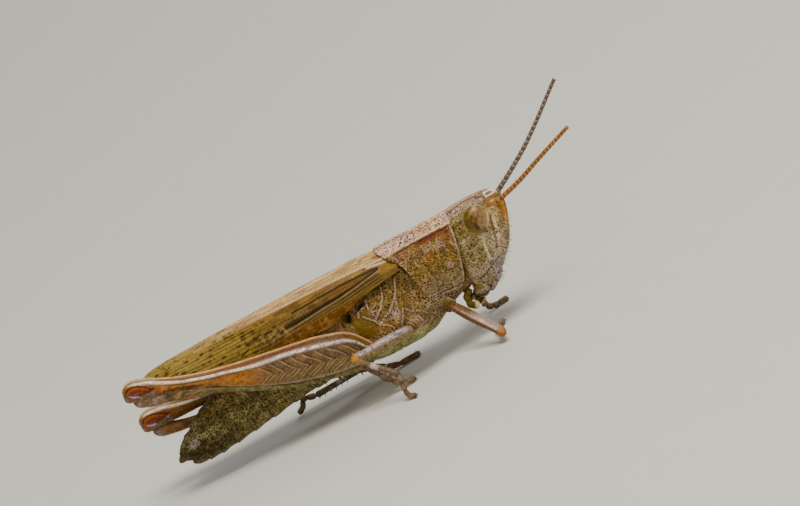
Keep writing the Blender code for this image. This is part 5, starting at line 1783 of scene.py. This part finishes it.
def cones(tree, points, turn, size, shape, material, kept=None):
    """A cone on each point, made real with its material; `kept` names the places kept on each cone."""
    body = add(tree, "GeometryNodeMeshCone", {"Depth": 1.0, **shape})
    if kept:
        own = {"Geometry": body, "Name": kept, "Value": add(tree, "GeometryNodeInputPosition")}
        body = add(tree, "GeometryNodeStoreNamedAttribute", own, data_type="FLOAT_VECTOR", domain="POINT")
    stood = {"Points": points, "Instance": body, "Rotation": turn, "Scale": size}
    stood = add(tree, "GeometryNodeInstanceOnPoints", stood)
    real = add(tree, "GeometryNodeRealizeInstances", {"Geometry": stood})
    return add(tree, "GeometryNodeSetMaterial", {"Geometry": real, "Material": material})


def grown(name, base, tree, keys, values):
    """Runs a tree on a base mesh and keeps the result as a plain mesh object."""
    host = linked(name + "_host", base)
    modifier = host.modifiers.new("grow", "NODES")
    modifier.node_group = tree
    for label, value in values.items():
        modifier[keys[label]] = value
    graph = bpy.context.evaluated_depsgraph_get()
    mesh = bpy.data.meshes.new_from_object(host.evaluated_get(graph))
    bpy.data.objects.remove(host)
    mesh.name = name
    return linked(name, mesh)


def thread(name, places, pointing=None):
    """A bare line of points as a mesh, with the way that things on it should point."""
    mesh = bpy.data.meshes.new(name)
    mesh.from_pydata(metres(places).tolist(), [(i, i + 1) for i in range(len(places) - 1)], [])
    if pointing is not None:
        ways = np.broadcast_to(pointing, (len(places), 3)).astype(float)
        mesh.attributes.new("pointing", "FLOAT_VECTOR", "POINT").data.foreach_set("vector", ways.ravel())
    return mesh


print("kinds of input:", [kind.__name__ for kind in SOCKETS])

# %% [markdown]
# ## The feelers
# A grasshopper's feeler has about 24 short rings on one stout root joint, each ring a little narrower at its
# base. Both feelers are grey-brown with pale joints; the near one is painted orange-brown for the light that
# shines through it from behind.

# %% Feeler rings along a line
FEELER_RINGS = 24
FEELER_RADIUS = 0.155 * MM
RING_OVERLAP = 0.97  # each ring is a little shorter than its step, so the joints stay open


def feeler_tree(material):
    sizes = {"Rings": FEELER_RINGS, "Radius": FEELER_RADIUS, "Tip share": 0.6, "Ring length": 0.3 * MM}
    tree, given, end, keys = start_tree("feeler_rings", sizes)
    line = even_points(tree, given, given["Rings"])
    along = add(tree, "GeometryNodeSplineParameter")
    order = {"Geometry": line, "Name": "order", "Value": along}
    line = add(tree, "GeometryNodeStoreNamedAttribute", order, data_type="FLOAT", domain="POINT")
    tangent = add(tree, "GeometryNodeInputTangent")
    turn = add(tree, "FunctionNodeAlignRotationToVector", {"Vector": tangent}, axis="Z")
    narrow = add(tree, "ShaderNodeMapRange", {0: along, 1: 0.0, 2: 1.0, 3: 1.0, 4: given["Tip share"]})
    thick = add(tree, "ShaderNodeMath", {0: narrow, 1: given["Radius"]}, operation="MULTIPLY")
    size = add(tree, "ShaderNodeCombineXYZ", {"X": thick, "Y": thick, "Z": given["Ring length"]})
    shape = {"Vertices": 14, "Side Segments": 5, "Radius Top": 1.0, "Radius Bottom": 0.8}
    feed(end, {0: cones(tree, line, turn, size, shape, material, "in_ring")})
    return tree, keys


FEELER, FEELER_KEYS = feeler_tree(LIMB)
print("nodes in the feeler's tree:", len(FEELER.nodes))

# %% Feelers and their root joints
ANTENNA_ROOT = (9.36, 0.52, 5.94)
ANTENNA_BENDS = {
    -1: ((11.15, -1.55, 6.62), (12.75, -2.62, 7.42), (14.85, -4.12, 8.46)),
    1: ((10.9, 1.05, 6.70), (12.3, 1.65, 7.46), (15.1, 2.80, 9.42)),
}
# the near feeler is painted orange-brown for light shining through it from behind; the far one keeps the
# feelers' own grey-brown
FEELER_TINTS = {-1: ("#8A5222", "#A87436", "#C08A4A"), 1: ("#5C4A3C", "#75604C", "#A8988A")}
ROOT_TINTS = {-1: ("#8A6A34", "#A88448"), 1: ("#6E5C44", "#857458")}
ROOT_ROWS = [(-0.25, 0.16, 0.16), (0.1, 0.21, 0.21), (0.5, 0.2, 0.2)]
ROOT_ROWS += [(0.6, 0.12, 0.12), (0.75, 0.17, 0.17), (1.0, 0.14, 0.14)]
ROOT_ENDS = 7  # the root joint ends at this point of the feeler's line

for side_name, side in SIDES:
    path = [on_side(ANTENNA_ROOT, side), *ANTENNA_BENDS[side]]
    fine = line_frame(path, np.linspace(0.02, 0.985, 80), (0, 0, 1))[0]
    length = np.linalg.norm(np.diff(fine, axis=0), axis=1).sum()
    step = length / (FEELER_RINGS - 1) * RING_OVERLAP * MM
    values = {"Rings": FEELER_RINGS, "Radius": FEELER_RADIUS, "Tip share": 0.72, "Ring length": step}
    feeler = grown(f"feeler_{side_name}", thread("feeler_line", fine), FEELER, FEELER_KEYS, values)
    mesh = feeler.data
    count = len(mesh.vertices)
    order, inside = np.empty(count), np.empty(count * 3)
    mesh.attributes["order"].data.foreach_get("value", order)
    mesh.attributes["in_ring"].data.foreach_get("vector", inside)
    height = inside.reshape(-1, 3)[:, 2]
    height = (height - height.min()) / np.ptp(height)
    ground, second, pale = FEELER_TINTS[side]
    odd = np.round(order * (FEELER_RINGS - 1)) % 2
    colour = paint(
        ground,
        (odd * 0.35, second),
        (fade(height, 0.72, 0.9) * 0.9, pale),
        (fall(height, 0.02, 0.15), "#2E2014"),
        (fade(order, 0.8, 1.0) * 0.4, ground),
    )
    store_tint(mesh, colour)
    mesh.attributes.new("pits", "FLOAT", "POINT")
    mesh.shade_smooth()
    wear(feeler, "antenna", f"antenna_{side_name}")

    root, along, _ = tapered((path[0], fine[ROOT_ENDS]), ROOT_ROWS, 50, 36)
    ground, second = ROOT_TINTS[side]
    root_colour = paint(ground, (grain(root, 0.2, 111), second), (band(along, 0.6, 0.06), "#3E2A14"))
    dress(f"feeler_root_{side_name}", root, root_colour, 0.2, SMOOTH, "antenna")

# %% [markdown]
# ## Spines
# Along the outer edge of each shank stands a double row of stout black spines, about two thirds of a
# millimetre apart, which point away from the thigh and a little towards the foot.

# %% The spines' material and tree
# Hardened chitin at its darkest: nearly black and glossy, a little brown in soft lumps.
SPINE = two_tone("hardened_spine_chitin", 0.15, 2.0, "#120C08", "#3A2414", 0.35)
HIND_SPINES = {"Spines": 12, "Length": 0.32 * MM, "Radius": 0.055 * MM}
WALKING_SPINES = {"Spines": 6, "Length": 0.2 * MM, "Radius": 0.03 * MM}


def spine_tree(material):
    tree, given, end, keys = start_tree("spine_row", HIND_SPINES)
    line = even_points(tree, given, given["Spines"])
    pointing = add(tree, "GeometryNodeInputNamedAttribute", {"Name": "pointing"}, data_type="FLOAT_VECTOR")
    turn = add(tree, "FunctionNodeAlignRotationToVector", {"Vector": pointing}, axis="Z")
    stretch = {"X": given["Radius"], "Y": given["Radius"], "Z": given["Length"]}
    size = add(tree, "ShaderNodeCombineXYZ", stretch)
    shape = {"Vertices": 8, "Side Segments": 3, "Radius Top": 0.05, "Radius Bottom": 1.0}
    feed(end, {0: cones(tree, line, turn, size, shape, material)})
    return tree, keys


SPINES, SPINE_KEYS = spine_tree(SPINE)
print("nodes in the spines' tree:", len(SPINES.nodes))


# %% Rows of spines
def spine_row(name, line, pointing, sizes):
    wear(grown(name, thread("spine_line", line, pointing), SPINES, SPINE_KEYS, sizes), "shank")


for side_name, side in SIDES:
    places, way, aside, up_way = line_frame(shank_path(side), np.linspace(0.22, 0.95, 60), (0, 0, 1))
    for row, lean in (("outer", side), ("inner", -side)):
        out_way = aside * np.sign(aside[:, 1:2]) * lean
        line = places - up_way * 0.16 + out_way * 0.09
        pointing = -up_way * 0.8 + out_way * 0.35 + way * 0.55
        spine_row(f"hind_spines_{side_name}_{row}", line, pointing, HIND_SPINES)
    for place in LEG_HIPS:
        start, stop = np.array(KNEES[place, side]), np.array(ANKLES[place, side])
        way = (stop - start) / np.linalg.norm(stop - start)
        down = np.array([0, 0, -1.0]) - way * -way[2]
        down /= np.linalg.norm(down)
        across_way = np.cross(way, down)
        places = start + (stop - start) * np.linspace(0.35, 0.95, 20)[:, None]
        for row, lean in (("a", 1), ("b", -1)):
            line = places + down * 0.14 + across_way * 0.1 * lean
            pointing = down * 0.7 + way * 0.6 + across_way * 0.4 * lean
            spine_row(f"{place}_spines_{side_name}_{row}", line, pointing, WALKING_SPINES)

# %% [markdown]
# ## Bristles
# Short clear hairs stand on the lower face, the belly, the legs and the feet. They are sown at random over
# each skin, thick where the skin's own `hair` value is high, and lean towards the tail. Each takes its
# root's place on the skin's unwrap, so that a baked picture gives it the skin's colour there.

# %% The bristles' material and tree
PATCH = 0.0030  # how wide one bristle's patch is on the unwrap

# A bristle is clear, colourless chitin: it takes on a little of the plate's tint at its root, and over half
# its colour is a near-white painted in for the light that shines through it from behind.
BRISTLE, bristle_nodes, bristle_shader = new_material("clear_bristle_chitin")
tint = add(bristle_nodes, "ShaderNodeAttribute", attribute_name="tint")
mixed = add(bristle_nodes, "ShaderNodeMix", {0: 0.55, 6: tint, 7: (*linear("#EFE8D6"), 1)}, data_type="RGBA")
feed(bristle_shader, {"Base Color": mixed.outputs[2], "Roughness": 0.35})


def bristle_tree(material):
    sizes = {"Per square metre": 2.0e6, "Length": 0.25 * MM, "Radius": 0.012 * MM}
    sizes.update({"Lean": (-0.4, 0.0, -0.3), "Seed": 1})
    tree, given, end, keys = start_tree("bristles", sizes)
    vector = {"data_type": "FLOAT_VECTOR"}

    # sow points where the skin is hairy, and draw a number and a direction for each
    hair = add(tree, "GeometryNodeInputNamedAttribute", {"Name": "hair"}, data_type="FLOAT")
    density = add(tree, "ShaderNodeMath", {0: hair, 1: given["Per square metre"]}, operation="MULTIPLY")
    sown = {"Mesh": given["Geometry"], "Density": density, "Seed": given["Seed"]}
    sown = add(tree, "GeometryNodeDistributePointsOnFaces", sown)
    place = add(tree, "GeometryNodeInputPosition")
    far = add(tree, "ShaderNodeVectorMath", {0: place, 3: 1.0e4}, operation="SCALE")
    luck = add(tree, "ShaderNodeTexWhiteNoise", {"Vector": far, "W": 1.0}, noise_dimensions="4D")
    luck_way = {0: luck.outputs["Color"], 1: (0.5, 0.5, 0.5)}
    stray = add(tree, "ShaderNodeVectorMath", luck_way, operation="SUBTRACT")
    hair_way = {0: sown.outputs["Normal"], 1: given["Lean"]}
    leaning = add(tree, "ShaderNodeVectorMath", hair_way, operation="ADD")
    part_stray = {0: stray, 1: (0.7, 0.7, 0.7), 2: leaning}
    way = add(tree, "ShaderNodeVectorMath", part_stray, operation="MULTIPLY_ADD")
    turn = add(tree, "FunctionNodeAlignRotationToVector", {"Vector": way}, axis="Z")

    # one bristle is a thin cone that keeps its own places, so that its patch can be laid out later
    longer = add(tree, "ShaderNodeMapRange", {0: luck, 3: 0.5, 4: 1.15})
    length = add(tree, "ShaderNodeMath", {0: longer, 1: given["Length"]}, operation="MULTIPLY")
    size = add(tree, "ShaderNodeCombineXYZ", {"X": given["Radius"], "Y": given["Radius"], "Z": length})
    shape = {"Vertices": 4, "Side Segments": 3, "Radius Top": 0.15, "Radius Bottom": 1.0}
    real = cones(tree, sown, turn, size, shape, material, "on_bristle")

    # each bristle's patch lies at its root's place on the skin's unwrap
    root = add(tree, "GeometryNodeInputNamedAttribute", {"Name": "along_and_round"}, **vector)
    on_body = add(tree, "GeometryNodeInputNamedAttribute", {"Name": "on_bristle"}, **vector)
    parts = add(tree, "ShaderNodeSeparateXYZ", {"Vector": on_body}).outputs
    upright = add(tree, "ShaderNodeMath", {0: parts["Z"], 1: 0.5}, operation="SUBTRACT")
    sideways = add(tree, "ShaderNodeMath", {0: parts["X"], 1: parts["Y"]}, operation="ADD")
    sideways = add(tree, "ShaderNodeMath", {0: sideways, 1: 0.5}, operation="MULTIPLY")
    patch = add(tree, "ShaderNodeCombineXYZ", {"X": sideways, "Y": upright, "Z": 0.0})
    spot = {0: patch, 1: (PATCH, PATCH, 0.0), 2: root}
    spot = add(tree, "ShaderNodeVectorMath", spot, operation="MULTIPLY_ADD")
    mapped = {"Geometry": real, "Name": "OFBake", "Value": spot}
    mapped = add(tree, "GeometryNodeStoreNamedAttribute", mapped, data_type="FLOAT2", domain="CORNER")
    feed(end, {0: mapped})
    return tree, keys


BRISTLES, BRISTLE_KEYS = bristle_tree(BRISTLE)
print("nodes in the bristles' tree:", len(BRISTLES.nodes))


# %% Bristles sown over a skin
def sow(skin_name, length, per_mm2, lean, seed, radius=0.012):
    """Bristles `length` mm long over one skin, leaning one way from upright."""
    values = {"Per square metre": per_mm2 * 1.0e6, "Length": length * MM, "Radius": radius * MM}
    values.update({"Lean": lean, "Seed": seed})
    skin = bpy.data.objects[skin_name].data
    coat = grown(f"bristles_{skin_name}", skin, BRISTLES, BRISTLE_KEYS, values)
    coat.data.shade_smooth()
    wear(coat, "cuticle")


sow("head_shell", 0.32, 22.0, (0.15, 0.0, -0.35), 1, 0.013)
sow("upper_lip", 0.32, 16.0, (0.15, 0.0, -0.5), 2, 0.013)
sow("chest_plates", 0.20, 14.0, (-0.4, 0.0, -0.5), 3)
sow("abdomen_rings", 0.15, 16.0, (-0.9, 0.0, -0.2), 4)
for number, (side_name, side) in enumerate(SIDES):
    sow(f"tail_peg_{side_name}", 0.18, 14.0, (-0.6, 0.0, 0.0), 5 + number)
    sow(f"jumping_thigh_{side_name}", 0.13, 14.0, (-0.6, 0.0, 0.2), 7 + number)
    sow(f"folded_shank_{side_name}", 0.18, 30.0, (0.4, 0.0, -0.5), 9 + number)
    for step, place in enumerate(("fore", "mid", "hind")):
        if place != "hind":
            sow(f"{place}_thigh_{side_name}", 0.14, 12.0, (0.3, 0.0, -0.2), 11 + number + 2 * step)
            sow(f"{place}_shank_{side_name}", 0.2, 20.0, (0.2, 0.0, -0.4), 17 + number + 2 * step)
        sow(f"{place}_foot_{side_name}", 0.14, 26.0, (0.3, 0.0, 0.1), 23 + number + 2 * step)

# %% [markdown]
# ## Floor and light
# A pale sweep of floor, a big soft light from above in front, a weaker fill from the camera's side and a rim
# from behind. A small animal under a broad light shows its gloss as wide soft streaks.

# %% Pale floor
REACH = 1200.0  # mm from the middle to each edge
CORNERS = ((-1, -1), (1, -1), (1, 1), (-1, 1))
floor_mesh = bpy.data.meshes.new("pale_floor")
floor_mesh.from_pydata([Vector((x * REACH * MM, y * REACH * MM, 0)) for x, y in CORNERS], [], [(0, 1, 2, 3)])
floor = linked("pale_floor", floor_mesh)

# Matt backdrop paper: pressed pulp, with fibres drawn far coarser than they are, and no gloss.
paper = two_tone("matt_backdrop_paper", 2.0, 3.0, "#DAD9D2", "#DEDDD7", 0.9)
floor_mesh.materials.append(paper)
print("the floor is", 2 * REACH * MM, "m wide")

# %% Lights
ROOM_LIGHT = 0.38  # strength of the light from all sides
LIT_HEIGHT = 4.0  # mm above the floor, where the lamps look
world = bpy.data.worlds.new("pale_room")
world.use_nodes = True
feed(world.node_tree.nodes["Background"], {"Color": (*linear("#E2E1DA"), 1), "Strength": ROOM_LIGHT})
bpy.context.scene.world = world
centre = Vector(metres((0.0, 0.0, LIT_HEIGHT)))


def lamp(name, way, away_mm, size_mm, watts, tint):
    """A square soft light that looks at the animal from a direction."""
    light = bpy.data.lights.new(name, "AREA")
    light.size, light.energy, light.color = size_mm * MM, watts, linear(tint)
    way = Vector(way).normalized()
    facing = way.to_track_quat("Z", "Y").to_matrix().to_4x4()
    linked(name, light).matrix_world = Matrix.Translation(centre + way * away_mm * MM) @ facing


lamp("key_from_above", (0.25, -0.45, 1.0), 320, 160, 1.05, "#FFF8EC")
lamp("fill_from_beside", (-0.7, -1.0, 0.25), 350, 250, 0.22, "#F8FBF2")
lamp("rim_from_behind", (0.5, 1.0, 0.7), 350, 160, 0.3, "#FFFFFF")
print("lamps:", len(bpy.data.lights))
